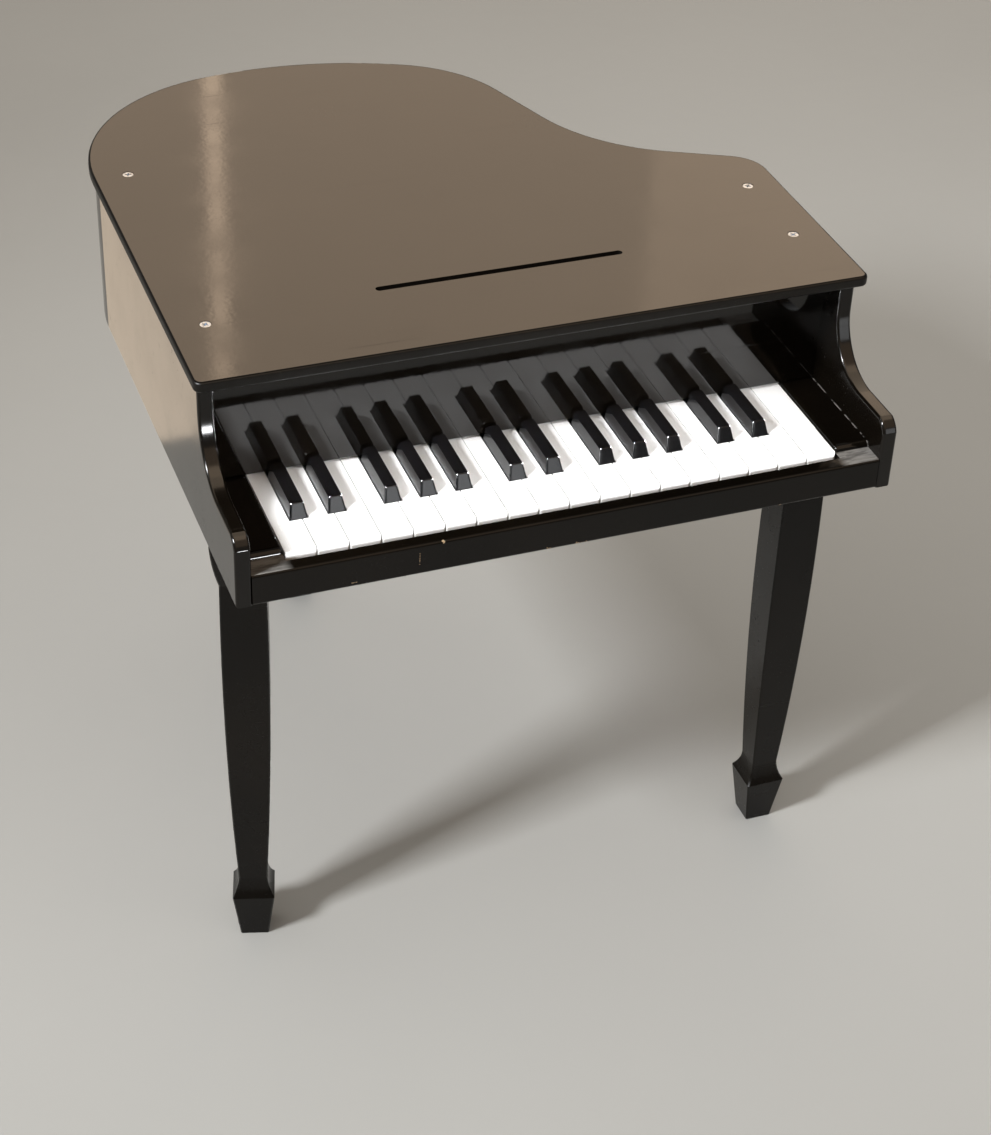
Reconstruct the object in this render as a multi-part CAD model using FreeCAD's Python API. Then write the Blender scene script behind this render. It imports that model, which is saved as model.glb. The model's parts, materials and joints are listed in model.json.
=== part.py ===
"""Toy grand piano with thirty keys, modelled piece by piece.

Millimetres, +Z up. X runs along the keyboard, bass to treble, and -Y is the player's side.
The drawing datum is the fallboard's face; the finished pieces are shifted so that the
origin lies on the floor under the middle of the overall box.
"""
import FreeCAD
import Part
import math
import os

from collections import namedtuple

from FreeCAD import Vector

# Heights above the floor and above the case's bottom edge
LEG_HEIGHT = 368.5
CASE_HEIGHT = 119.5
WHITE_KEY_LEVEL = 25.5
FRONT_RAIL_HEIGHT = 23.5
ARM_HEIGHT = 53.5

# Boards
WALL = 11.0
LID_THICKNESS = 8.0
LID_OVERHANG = 4.0
BOTTOM_THICKNESS = 8.0
FALLBOARD_THICKNESS = 10.0
FALLBOARD_GAP = 2.0
BOARD_ROUND = 2.0
BOARD_FIT = 0.2

# Cheeks and the front of the case, measured forward from the fallboard's face
CHEEK_SETOUT = 22.0
COVE_RADIUS = 42.0
NOSE_BEVEL = 9.0
NOSE_CROWN = 1.4
NOSE_ARRIS = 1.5
LEDGE_DEPTH = 10.0
LEDGE_GAP = 5.5
LID_SETOUT = 34.0
LID_CORNER = 6.0
KEY_BLOCK_WIDTH = 26.0
KEY_BLOCK_SETBACK = 1.5
KEY_BLOCK_ROUND = 4.5
KEY_BLOCK_GAP = 0.8

# Keyboard
WHITE_KEYS = 18
KEY_PITCH = 22.0
KEY_GAP = 0.7
WHITE_LENGTH = 89.5
WHITE_ROUND = 1.2
WHITE_EDGE_ROUND = 0.4
BLACK_LENGTH = 55.5
BLACK_HEIGHT = 10.0
BLACK_SIDE_DRAFT = 1.7
BLACK_FRONT_DRAFT = 4.5
BLACK_REAR_GAP = 1.5
BLACK_ROUND = 1.3
BLACK_TOP_THICKNESS = 6.7
KEY_WALL = 1.6
KEY_TOP_THICKNESS = 2.0
KEY_DIP = 5.5
KEY_REACH_UNDER_FALLBOARD = 4.0

# Key levers, measured back from the fallboard's face
PIVOT_SETBACK = 30.0
PIVOT_ROD_DIAMETER = 4.0
RUNNING_CLEARANCE = 0.05
STICK_WIDTH = 8.0
STICK_SIDE_GAP = 0.7
TAIL_WEIGHT_LENGTH = 69.0
TAIL_WEIGHT_HEIGHT = 25.0
TAIL_START_GAP = 25.0
HAMMER_DEPTH = 10.0
HAMMER_HEIGHT = 11.0
HAMMER_INSET = 5.0
BLOW_GAP = 0.4
REST_GAP = 0.2
DIP_GAP = 0.3
FELT_THICKNESS = 1.5
FELT_WIDTH = 14.0
RAIL_WIDTH = 14.0
RAIL_STICK_GAP = 2.5
TAB_WIDTH = 7.0

# Chimes
CHIME_DIAMETER = 3.0
BASS_CHIME_LENGTH = 125.0
CHIME_SEAT = 12.0
CHIME_FIT = 0.05
CHIME_BLOCK_DEPTH = 25.0
CHIME_BLOCK_HEIGHT = 22.0
CHIME_HAMMER_GAP = 12.0
CHIME_POST_WIDTH = 20.0
CHIME_SCREW_BITE = 10.0
SEMITONES_PER_HALVING = 24

# Tail of the case: radii and headings of the lid's outline, headings in degrees from +X
SPINE_RADIUS = 142.0
SPINE_HEADING = 10.5
BENT_RADIUS = 104.0
TAIL_HEADING = -25.0
BENT_HEADING = -72.0
BENT_STRAIGHT = 59.0
HOLLOW_RADIUS = 134.0
SHOULDER_HEADING = -25.6
SHOULDER_STRAIGHT = 47.0
SHOULDER_RADIUS = 29.0
SHOULDER_LAP = 17.0

# Music rest slot and lid screws
SLOT_LENGTH = 180.0
SLOT_WIDTH = 5.5
SLOT_SETBACK = 47.0
SLOT_OFFSET = -3.0
LID_SCREW_SETBACK = 36.0
SPINE_SCREW_SETBACK = 3.0
SHOULDER_SCREW_SETBACK = 22.0
CLEAT_WIDTH = 20.0
CLEAT_HEIGHT = 22.0
CLEAT_FIT = 0.3
FALLBOARD_CLEAT_DEPTH = 12.0
FALLBOARD_CLEAT_HEIGHT = 70.0

# Screws and bolts
SCREW_HEAD_DIAMETER = 8.0
SCREW_SHANK_DIAMETER = 3.6
SCREW_SINK = 0.3
SCREW_CLEARANCE = 0.1
CROSS_LENGTH = 4.6
CROSS_WIDTH = 1.1
CROSS_DEPTH = 1.5
LONG_SCREW = 20.0
SHORT_SCREW = 11.0
RAIL_SCREW_INSET = 66.0
KEY_BLOCK_SCREW_GAP = 40.0
LEG_BOLT_DIAMETER = 6.0
LEG_BOLT_IN_LEG = 26.0
LEG_BOLT_IN_CASE = 20.0

# Legs: full widths of the square section, and how far the left one stands turned on its bolt, in degrees
LEG_HEAD_WIDTH = 43.0
LEG_HEAD_HEIGHT = 36.0
LEG_HEAD_BULGE = 1.0
LEG_SHAFT_WIDTH = 32.0
LEG_SHAFT_BULGE = 2.5
LEG_ANKLE_WIDTH = 21.0
LEG_ANKLE_HEIGHT = 57.0
LEG_FOOT_WIDTH = 31.0
LEG_FOOT_HEIGHT = 40.5
LEG_FOOT_HOLLOW = 0.75
LEG_SOLE_WIDTH = 21.0
LEG_CORNER_CUT = 0.7
LEG_INSET = 26.5
LEG_SETOUT = 21.0
LEFT_LEG_TURN = -16.4
REAR_LEG_OFFSET = 15.0
REAR_LEG_GAP = 3.0
REAR_BLOCK_WIDTH = 40.0
REAR_BLOCK_DEPTH = 24.0
REAR_BLOCK_HEIGHT = 22.0

# Working values: the share of a wall that a rounded edge may take, how far a cutter
# passes the face it opens, and the closeness at which two lengths are the same
ROUND_SHARE = 1 / 3
OVERCUT = 1.0
TOLERANCE = 1e-3

# Levels worked out from the driving sizes
CASE_Z = LEG_HEIGHT
BOTTOM_TOP_Z = CASE_Z + BOTTOM_THICKNESS
KEY_Z = CASE_Z + WHITE_KEY_LEVEL
LEDGE_Z = CASE_Z + FRONT_RAIL_HEIGHT
ARM_Z = CASE_Z + ARM_HEIGHT
LID_Z = CASE_Z + CASE_HEIGHT
LID_TOP_Z = LID_Z + LID_THICKNESS
FALLBOARD_Z = KEY_Z + FALLBOARD_GAP
FRONT_FELT_Z = BOTTOM_TOP_Z + FELT_THICKNESS
SKIRT_Z = FRONT_FELT_Z + DIP_GAP + KEY_DIP
PIVOT_Z = (SKIRT_Z + KEY_Z) / 2
PIVOT_BORE = PIVOT_ROD_DIAMETER + 2 * RUNNING_CLEARANCE
TAIL_TOP_Z = SKIRT_Z + TAIL_WEIGHT_HEIGHT
HAMMER_TOP_Z = TAIL_TOP_Z + HAMMER_HEIGHT

# Places along X
KEYBOARD_HALF = KEY_PITCH * WHITE_KEYS / 2
INNER_HALF = KEYBOARD_HALF + KEY_BLOCK_WIDTH
OUTER_HALF = INNER_HALF + WALL
LID_HALF = OUTER_HALF + LID_OVERHANG
LEG_X = OUTER_HALF - LEG_INSET
LID_SCREW_X = INNER_HALF - CLEAT_FIT - CLEAT_WIDTH / 2
RAIL_SCREW_X = KEYBOARD_HALF - RAIL_SCREW_INSET

# Places along Y
KEY_FRONT_Y = -WHITE_LENGTH
RAIL_BACK_Y = KEY_FRONT_Y - LEDGE_GAP
FRONT_Y = RAIL_BACK_Y - LEDGE_DEPTH
TAIL_WEIGHT_Y = PIVOT_SETBACK + TAIL_START_GAP
TAIL_END_Y = TAIL_WEIGHT_Y + TAIL_WEIGHT_LENGTH
HAMMER_Y = TAIL_END_Y - HAMMER_INSET - HAMMER_DEPTH / 2
CHIME_BLOCK_BACK_Y = HAMMER_Y - HAMMER_DEPTH / 2 - CHIME_HAMMER_GAP
CHIME_BLOCK_FRONT_Y = CHIME_BLOCK_BACK_Y - CHIME_BLOCK_DEPTH

# The key turns about its rod until its front has gone down by the dip
PRESS_ANGLE = math.asin(KEY_DIP / (PIVOT_SETBACK + WHITE_LENGTH))


def hammer_lift():
    """Height that the hammer's tip gains when its key is held down."""
    reach = HAMMER_Y - PIVOT_SETBACK
    rise = HAMMER_TOP_Z - PIVOT_Z
    radius = HAMMER_DEPTH / 2
    centre = reach * math.sin(PRESS_ANGLE) + (rise - radius) * math.cos(PRESS_ANGLE)
    return centre + radius - rise


CHIME_Z = HAMMER_TOP_Z + hammer_lift() + BLOW_GAP + CHIME_DIAMETER / 2
CHIME_BLOCK_Z = CHIME_Z - CHIME_BLOCK_HEIGHT / 2


KeyPlace = namedtuple("KeyPlace", "note is_black head_left head_right tail_left tail_right")
KEY_GROUPS = (
    ("c", "c_sharp", "d", "d_sharp", "e"),
    ("f", "f_sharp", "g", "g_sharp", "a", "a_sharp", "b"),
)


def keyboard_layout():
    """Names and boundaries of the keys from bass to treble.

    Within a group of whites and the blacks among them all tails have the same width.
    """
    layout = []
    left = -KEYBOARD_HALF
    whites_left = WHITE_KEYS
    turn = 0
    while whites_left > 0:
        notes = KEY_GROUPS[turn % len(KEY_GROUPS)]
        whites = [note for note in notes if "sharp" not in note]
        while len(whites) > whites_left:
            whites.pop()
            notes = notes[: 2 * len(whites) - 1]
        tail = KEY_PITCH * len(whites) / len(notes)
        for place, note in enumerate(notes):
            head = left + KEY_PITCH * (place // 2)
            start = left + tail * place
            layout.append(KeyPlace(note, "sharp" in note, head, head + KEY_PITCH, start, start + tail))
        left += KEY_PITCH * len(whites)
        whites_left -= len(whites)
        turn += 1
    return layout


LAYOUT = keyboard_layout()
TREBLE_CHIME_LENGTH = BASS_CHIME_LENGTH * 2 ** (-(len(LAYOUT) - 1) / SEMITONES_PER_HALVING)
SHOULDER_Y = CHIME_BLOCK_BACK_Y + TREBLE_CHIME_LENGTH - SHOULDER_LAP


def chime_length(index):
    """Free length of a chime: a rod clamped at one end sounds as one over its length squared."""
    return BASS_CHIME_LENGTH * 2 ** (-index / SEMITONES_PER_HALVING)


def box(x0, x1, y0, y1, z0, z1):
    """Block between two corners."""
    return Part.makeBox(x1 - x0, y1 - y0, z1 - z0, Vector(x0, y0, z0))


def post(x, y, z0, z1, diameter):
    """Upright cylinder."""
    return Part.makeCylinder(diameter / 2, z1 - z0, Vector(x, y, z0))


def bar_x(x0, x1, y, z, diameter):
    """Cylinder along X."""
    return Part.makeCylinder(diameter / 2, x1 - x0, Vector(x0, y, z), Vector(1, 0, 0))


def bar_y(x, y0, y1, z, diameter):
    """Cylinder along Y."""
    return Part.makeCylinder(diameter / 2, y1 - y0, Vector(x, y0, z), Vector(0, 1, 0))


def fillet(shape, radius, wanted):
    """Round the edges that the test picks out by their bounding box."""
    edges = [edge for edge in shape.Edges if wanted(edge.BoundBox)]
    return shape.makeFillet(radius, edges)


def at(value, target):
    """True where two lengths are the same to a micron or so."""
    return abs(value - target) < TOLERANCE


def rounding(radius, wall):
    """Radius of a rounded edge, held within its share of the wall."""
    return min(radius, wall * ROUND_SHARE)


def between(start, end, share):
    """Value a given share of the way from one value to another."""
    return start + (end - start) * share


def line(start, end):
    """Straight edge between two points."""
    return Part.LineSegment(start, end).toShape()


def arc(start, middle, end):
    """Circular edge through three points."""
    return Part.Arc(start, middle, end).toShape()


def tail_radius():
    """Radius of the tail that brings the outline back to the right side at its full width."""
    headings = (SPINE_HEADING, TAIL_HEADING, BENT_HEADING, SHOULDER_HEADING)
    spine, tail, bent, shoulder = [math.sin(math.radians(heading)) for heading in headings]
    gained = SPINE_RADIUS * (1 - spine)
    gained += BENT_RADIUS * (tail - bent)
    gained += BENT_STRAIGHT * math.cos(math.radians(BENT_HEADING))
    gained += HOLLOW_RADIUS * (shoulder - bent)
    gained += SHOULDER_STRAIGHT * math.cos(math.radians(SHOULDER_HEADING))
    gained += SHOULDER_RADIUS * (shoulder + 1)
    return (2 * LID_HALF - gained) / (spine - tail)


TAIL_RADIUS = tail_radius()
TAIL_RUNS = (
    ("turn", SPINE_RADIUS, SPINE_HEADING),
    ("turn", TAIL_RADIUS, TAIL_HEADING),
    ("turn", BENT_RADIUS, BENT_HEADING),
    ("run", BENT_STRAIGHT, BENT_HEADING),
    ("turn", HOLLOW_RADIUS, SHOULDER_HEADING),
    ("run", SHOULDER_STRAIGHT, SHOULDER_HEADING),
    ("turn", SHOULDER_RADIUS, -90.0),
)


def walk_tail(x, y, inset):
    """Edges and corner points of the tail, starting up the spine and set in by inset."""
    heading = 90.0
    edges = []
    points = [Vector(x, y, 0)]
    for kind, size, end_heading in TAIL_RUNS:
        start = points[-1]
        if kind == "run":
            angle = math.radians(heading)
            end = start + Vector(math.cos(angle), math.sin(angle), 0) * size
            edges.append(line(start, end))
        else:
            side = 1 if end_heading > heading else -1
            radius = size + side * inset
            centre_angle = math.radians(heading + side * 90)
            centre = start + Vector(math.cos(centre_angle), math.sin(centre_angle), 0) * radius

            def on_arc(turned_to):
                """Point of the arc where the outline has turned to a heading."""
                angle = math.radians(turned_to - side * 90)
                return centre + Vector(math.cos(angle), math.sin(angle), 0) * radius

            end = on_arc(end_heading)
            edges.append(arc(start, on_arc((heading + end_heading) / 2), end))
            heading = end_heading
        points.append(end)
    return edges, points


SPINE_END_Y = SHOULDER_Y - walk_tail(0, 0, 0)[1][-1].y
TAIL_APEX_X = -LID_HALF + SPINE_RADIUS * (1 - math.sin(math.radians(SPINE_HEADING)))
TAIL_APEX_X += TAIL_RADIUS * math.sin(math.radians(SPINE_HEADING))
TAIL_Y = SPINE_END_Y + SPINE_RADIUS * math.cos(math.radians(SPINE_HEADING))
TAIL_Y += TAIL_RADIUS * (1 - math.cos(math.radians(SPINE_HEADING)))
REAR_LEG_Y = TAIL_Y - LID_OVERHANG - WALL - REAR_LEG_GAP - REAR_BLOCK_DEPTH / 2
DATUM_SHIFT = Vector(0, -(FRONT_Y + TAIL_Y) / 2, 0)


def case_face(inset, front_y):
    """Plan of the case set in from the lid's edge and cut straight across at the front."""
    edges, points = walk_tail(-LID_HALF + inset, SPINE_END_Y, inset)
    left_front = Vector(-LID_HALF + inset, front_y, 0)
    right_front = Vector(LID_HALF - inset, front_y, 0)
    border = [line(left_front, points[0])] + edges
    border += [line(points[-1], right_front), line(right_front, left_front)]
    return Part.Face(Part.Wire(border))


def raise_face(face, z0, z1):
    """Board of a plan between two levels."""
    board = face.extrude(Vector(0, 0, z1 - z0))
    board.translate(Vector(0, 0, z0))
    return board


def inside_walls(z0, z1):
    """Space within the walls between two levels, less a fit."""
    return raise_face(case_face(LID_OVERHANG + WALL + CLEAT_FIT, 0), z0, z1)


def screw_body(head, shank, length):
    """Countersunk shape pointing down from the origin."""
    sink = (head - shank) / 2
    cone = Part.makeCone(shank / 2, head / 2, sink, Vector(0, 0, -sink))
    return cone.fuse(Part.makeCylinder(shank / 2, length - sink, Vector(0, 0, -length))).removeSplitter()


def countersunk_screw(length):
    """Wood screw with a cross recess, its head's face at the origin."""
    screw = screw_body(SCREW_HEAD_DIAMETER, SCREW_SHANK_DIAMETER, length)
    half = CROSS_LENGTH / 2
    wide = CROSS_WIDTH / 2
    for x, y in ((half, wide), (wide, half)):
        screw = screw.cut(box(-x, x, -y, y, -CROSS_DEPTH, OVERCUT))
    return screw


def screw_hole(length):
    """Countersunk hole that takes the screw, open past the board's face."""
    head = SCREW_HEAD_DIAMETER + 2 * SCREW_CLEARANCE
    hole = screw_body(head, SCREW_SHANK_DIAMETER + 2 * SCREW_CLEARANCE, length + SCREW_CLEARANCE)
    return hole.fuse(Part.makeCylinder(head / 2, SCREW_SINK + OVERCUT))


def placed(shape, x, y, z, upwards=False):
    """Copy of a screw or hole at its place, turned over where it is driven from below."""
    copy = shape.copy()
    if upwards:
        copy.rotate(Vector(0, 0, 0), Vector(1, 0, 0), 180)
    copy.translate(Vector(x, y, z))
    return copy


LID_SCREW_PLACES = (
    (-LID_SCREW_X, LID_SCREW_SETBACK),
    (LID_SCREW_X, LID_SCREW_SETBACK),
    (-LID_SCREW_X, SPINE_END_Y - SPINE_SCREW_SETBACK),
    (LID_SCREW_X, SHOULDER_Y - SHOULDER_SCREW_SETBACK),
)
CHIME_POST_X = INNER_HALF - CLEAT_FIT - CHIME_POST_WIDTH / 2
CHIME_BLOCK_Y = (CHIME_BLOCK_FRONT_Y + CHIME_BLOCK_BACK_Y) / 2
BACK_RAIL_Y = TAIL_END_Y - RAIL_WIDTH / 2
KEY_BLOCK_X = INNER_HALF - KEY_BLOCK_WIDTH / 2
KEY_BLOCK_SCREW_Y = -LEG_SETOUT - KEY_BLOCK_SCREW_GAP
LEG_PLACES = {
    "left_leg": (-LEG_X, -LEG_SETOUT),
    "right_leg": (LEG_X, -LEG_SETOUT),
    "rear_leg": (TAIL_APEX_X + REAR_LEG_OFFSET, REAR_LEG_Y),
}
CHIME_SCREW_PLACES = [(side * CHIME_POST_X, CHIME_BLOCK_Y) for side in (-1, 1)]
BOTTOM_SCREW_PLACES = [(side * KEY_BLOCK_X, KEY_BLOCK_SCREW_Y) for side in (-1, 1)] + CHIME_SCREW_PLACES
RAIL_SCREW_PLACES = [(x, y) for y in (PIVOT_SETBACK, BACK_RAIL_Y) for x in (-RAIL_SCREW_X, 0, RAIL_SCREW_X)]
CHIME_SCREW = CHIME_BLOCK_HEIGHT + CHIME_SCREW_BITE
SUNK_LID_Z = LID_TOP_Z - SCREW_SINK
SUNK_BOTTOM_Z = CASE_Z + SCREW_SINK
SUNK_CHIME_Z = CHIME_BLOCK_Z + CHIME_BLOCK_HEIGHT - SCREW_SINK


def drill(shape, length, places, z, upwards=False):
    """Cut screw holes at a list of places."""
    hole = screw_hole(length)
    for x, y in places:
        shape = shape.cut(placed(hole, x, y, z, upwards))
    return shape


def bolt_holes(shape):
    """Cut the clearance holes of the three leg bolts."""
    diameter = LEG_BOLT_DIAMETER + 2 * SCREW_CLEARANCE
    for x, y in LEG_PLACES.values():
        z0 = CASE_Z - LEG_BOLT_IN_LEG - SCREW_CLEARANCE
        z1 = CASE_Z + LEG_BOLT_IN_CASE + SCREW_CLEARANCE
        shape = shape.cut(post(x, y, z0, z1, diameter))
    return shape


def lid():
    """Fixed lid with rounded edges, the music rest's slot and four screw holes."""
    board = raise_face(case_face(0, -LID_SETOUT), LID_Z, LID_TOP_Z)

    def front_corner(b):
        """The two upright edges at the front."""
        return at(b.YMax, -LID_SETOUT) and b.ZLength > TOLERANCE

    board = fillet(board, LID_CORNER, front_corner)
    board = fillet(board, rounding(BOARD_ROUND, LID_THICKNESS), lambda b: b.ZLength < TOLERANCE)
    half = (SLOT_LENGTH - SLOT_WIDTH) / 2
    left, right = SLOT_OFFSET - half, SLOT_OFFSET + half
    front, back = SLOT_SETBACK - SLOT_WIDTH / 2, SLOT_SETBACK + SLOT_WIDTH / 2
    below, above = LID_Z - OVERCUT, LID_TOP_Z + OVERCUT
    slot = box(left, right, front, back, below, above)
    for x in (left, right):
        slot = slot.fuse(post(x, SLOT_SETBACK, below, above, SLOT_WIDTH))
    return drill(board.cut(slot), LONG_SCREW, LID_SCREW_PLACES, SUNK_LID_Z)


def cleats():
    """Four blocks that the lid is screwed to, trimmed to the inside of the walls."""
    half = CLEAT_WIDTH / 2
    inside = inside_walls(LID_Z - CLEAT_HEIGHT, LID_Z)
    blocks = []
    for x, y in LID_SCREW_PLACES:
        block = box(x - half, x + half, y - half, y + half, LID_Z - CLEAT_HEIGHT, LID_Z).common(inside)
        blocks.append(drill(block, LONG_SCREW, [(x, y)], SUNK_LID_Z))
    return Part.makeCompound(blocks)


def cheek_outline(rear_y):
    """Side view of a side board: bevelled nose, arm, cove, upright edge and the run to its rear end."""
    diagonal = math.sqrt(0.5)
    nose_y = FRONT_Y + NOSE_BEVEL
    nose_z = ARM_Z - NOSE_BEVEL
    crown = NOSE_CROWN * diagonal
    cove_y = -CHEEK_SETOUT - COVE_RADIUS
    cove_z = ARM_Z + COVE_RADIUS
    points = {
        "toe": (FRONT_Y, CASE_Z),
        "nose": (FRONT_Y, nose_z),
        "nose_middle": ((FRONT_Y + nose_y) / 2 - crown, (nose_z + ARM_Z) / 2 + crown),
        "nose_top": (nose_y, ARM_Z),
        "arm_end": (cove_y, ARM_Z),
        "cove_middle": (cove_y + COVE_RADIUS * diagonal, cove_z - COVE_RADIUS * diagonal),
        "cove_top": (-CHEEK_SETOUT, cove_z),
        "upright_top": (-CHEEK_SETOUT, LID_Z),
        "rear_top": (rear_y, LID_Z),
        "rear_toe": (rear_y, CASE_Z),
    }
    p = {name: Vector(0, y, z) for name, (y, z) in points.items()}
    border = [line(p["toe"], p["nose"]), arc(p["nose"], p["nose_middle"], p["nose_top"])]
    border += [line(p["nose_top"], p["arm_end"]), arc(p["arm_end"], p["cove_middle"], p["cove_top"])]
    border += [line(p["cove_top"], p["upright_top"]), line(p["upright_top"], p["rear_top"])]
    border += [line(p["rear_top"], p["rear_toe"]), line(p["rear_toe"], p["toe"])]
    return Part.Face(Part.Wire(border))


def side_board(side, rear_y):
    """Left or right side with its cheek, rounded along every edge that shows."""
    board = cheek_outline(rear_y).extrude(Vector(WALL, 0, 0))
    board.translate(Vector(INNER_HALF if side > 0 else -OUTER_HALF, 0, 0))

    def nose_arris(b):
        """Edges across the board where the nose's bevel begins and ends."""
        begins = at(b.YMin, FRONT_Y + NOSE_BEVEL) and at(b.ZMin, ARM_Z)
        ends = at(b.YMin, FRONT_Y) and at(b.ZMin, ARM_Z - NOSE_BEVEL)
        return b.XLength > TOLERANCE and (begins or ends)

    board = fillet(board, NOSE_ARRIS, nose_arris)

    def shows(b):
        """Edges of the nose, arm, cove and upright edge on both faces, and of the bottom outside."""
        along_face = b.XLength < TOLERANCE
        front_edge = b.YMax < -CHEEK_SETOUT + TOLERANCE
        bottom_edge = at(b.ZMax, CASE_Z) and at(b.XMin, side * OUTER_HALF)
        return along_face and (front_edge or bottom_edge)

    return fillet(board, rounding(BOARD_ROUND, WALL), shows)


def bent_rim():
    """Curved wall from the spine round the tail to the right side."""
    outer, outer_points = walk_tail(-LID_HALF + LID_OVERHANG, SPINE_END_Y, LID_OVERHANG)
    inset = LID_OVERHANG + WALL
    inner, inner_points = walk_tail(-LID_HALF + inset, SPINE_END_Y, inset)
    ends = [line(outer_points[0], inner_points[0]), line(outer_points[-1], inner_points[-1])]
    face = Part.Face(Part.Wire(Part.__sortEdges__(outer + inner + ends)))
    rim = raise_face(face, CASE_Z, LID_Z)
    outline = Part.Wire(outer)
    outline.translate(Vector(0, 0, CASE_Z))

    def shows(edge):
        """Bottom edges of the outer face."""
        middle = edge.valueAt((edge.FirstParameter + edge.LastParameter) / 2)
        return outline.distToShape(Part.Vertex(middle))[0] < TOLERANCE

    return rim.makeFillet(rounding(BOARD_ROUND, WALL), [edge for edge in rim.Edges if shows(edge)])


def bottom_board():
    """Floor of the case, let in between the walls behind the front rail."""
    board = raise_face(case_face(LID_OVERHANG + WALL + BOARD_FIT, RAIL_BACK_Y), CASE_Z, BOTTOM_TOP_Z)
    board = drill(board, LONG_SCREW, BOTTOM_SCREW_PLACES, SUNK_BOTTOM_Z, True)
    board = drill(board, SHORT_SCREW, RAIL_SCREW_PLACES, SUNK_BOTTOM_Z, True)
    return bolt_holes(board)


def front_rail():
    """Ledge in front of the keys, flush with the noses of the cheeks."""
    rail = box(-INNER_HALF, INNER_HALF, FRONT_Y, RAIL_BACK_Y, CASE_Z, LEDGE_Z)
    round_over = rounding(BOARD_ROUND, LEDGE_DEPTH)
    return fillet(rail, round_over, lambda b: b.XLength > TOLERANCE and at(b.YMax, FRONT_Y))


def fallboard():
    """Glossy board behind the keys, standing on the key blocks under the lid."""
    board = box(-INNER_HALF, INNER_HALF, 0, FALLBOARD_THICKNESS, FALLBOARD_Z, LID_Z)
    round_over = rounding(BOARD_ROUND, FALLBOARD_THICKNESS)
    return fillet(board, round_over, lambda b: at(b.YMax, 0) and at(b.ZMax, FALLBOARD_Z))


def fallboard_cleats():
    """Corner blocks behind the fallboard."""
    blocks = []
    for side in (-1, 1):
        outer = INNER_HALF - CLEAT_FIT
        x0, x1 = sorted((side * outer, side * (outer - CLEAT_WIDTH)))
        z1 = FALLBOARD_Z + FALLBOARD_CLEAT_HEIGHT
        y1 = FALLBOARD_THICKNESS + FALLBOARD_CLEAT_DEPTH
        blocks.append(box(x0, x1, FALLBOARD_THICKNESS, y1, FALLBOARD_Z, z1))
    return Part.makeCompound(blocks)


def key_block(side):
    """Block at the end of the keyboard, with a toe that fills the ledge. It anchors a front leg's bolt."""
    key_side = side * (KEYBOARD_HALF + KEY_BLOCK_GAP)
    x0, x1 = sorted((key_side, side * INNER_HALF))
    front = KEY_FRONT_Y + KEY_BLOCK_SETBACK
    block = box(x0, x1, front, FALLBOARD_THICKNESS, BOTTOM_TOP_Z, FALLBOARD_Z)
    round_over = rounding(KEY_BLOCK_ROUND, FALLBOARD_Z - BOTTOM_TOP_Z)
    block = fillet(block, round_over, lambda b: at(b.YMax, front) and at(b.ZMin, FALLBOARD_Z))

    def beside_keys(b):
        """Top edge next to the keys, with its turn down at the front."""
        along_side = at(b.XMin, key_side) and at(b.XMax, key_side)
        return along_side and at(b.ZMax, FALLBOARD_Z) and b.YLength > TOLERANCE

    block = fillet(block, rounding(BOARD_ROUND, round_over), beside_keys)
    toe = box(x0, x1, RAIL_BACK_Y, front + round_over, BOTTOM_TOP_Z, LEDGE_Z)
    block = block.fuse(toe).removeSplitter()
    block = drill(block, LONG_SCREW, BOTTOM_SCREW_PLACES, SUNK_BOTTOM_Z, True)
    return bolt_holes(block)


def pivot_rail(sticks):
    """Rail whose tabs stand between the key levers and carry the pivot rod."""
    half = RAIL_WIDTH / 2
    end = KEYBOARD_HALF + STICK_WIDTH
    rail = box(-end, end, PIVOT_SETBACK - half, PIVOT_SETBACK + half, BOTTOM_TOP_Z, SKIRT_Z - RAIL_STICK_GAP)
    front, back = PIVOT_SETBACK - TAB_WIDTH / 2, PIVOT_SETBACK + TAB_WIDTH / 2
    starts = [-end] + [x + STICK_WIDTH / 2 + STICK_SIDE_GAP for x in sticks]
    stops = [x - STICK_WIDTH / 2 - STICK_SIDE_GAP for x in sticks] + [end]
    tabs = [box(x0, x1, front, back, BOTTOM_TOP_Z, KEY_Z) for x0, x1 in zip(starts, stops)]
    rail = rail.fuse(tabs).removeSplitter()
    rail = rail.cut(bar_x(-end - OVERCUT, end + OVERCUT, PIVOT_SETBACK, PIVOT_Z, PIVOT_BORE))
    return drill(rail, SHORT_SCREW, RAIL_SCREW_PLACES, SUNK_BOTTOM_Z, True)


def pivot_rod():
    """Steel rod through all the key levers."""
    end = KEYBOARD_HALF + STICK_WIDTH
    return bar_x(-end, end, PIVOT_SETBACK, PIVOT_Z, PIVOT_ROD_DIAMETER)


def front_felt():
    """Strip that the key fronts come down on."""
    back = KEY_FRONT_Y + FELT_WIDTH
    return box(-KEYBOARD_HALF, KEYBOARD_HALF, KEY_FRONT_Y, back, BOTTOM_TOP_Z, FRONT_FELT_Z)


def back_rail():
    """Rail under the key tails."""
    top = SKIRT_Z - REST_GAP - FELT_THICKNESS
    y0 = TAIL_END_Y - RAIL_WIDTH
    rail = box(-KEYBOARD_HALF, KEYBOARD_HALF, y0, TAIL_END_Y, BOTTOM_TOP_Z, top)
    return drill(rail, SHORT_SCREW, RAIL_SCREW_PLACES, SUNK_BOTTOM_Z, True)


def back_felt():
    """Strip on the back rail that the key tails rest on."""
    top = SKIRT_Z - REST_GAP
    y0 = TAIL_END_Y - RAIL_WIDTH
    return box(-KEYBOARD_HALF, KEYBOARD_HALF, y0, TAIL_END_Y, top - FELT_THICKNESS, top)


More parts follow.
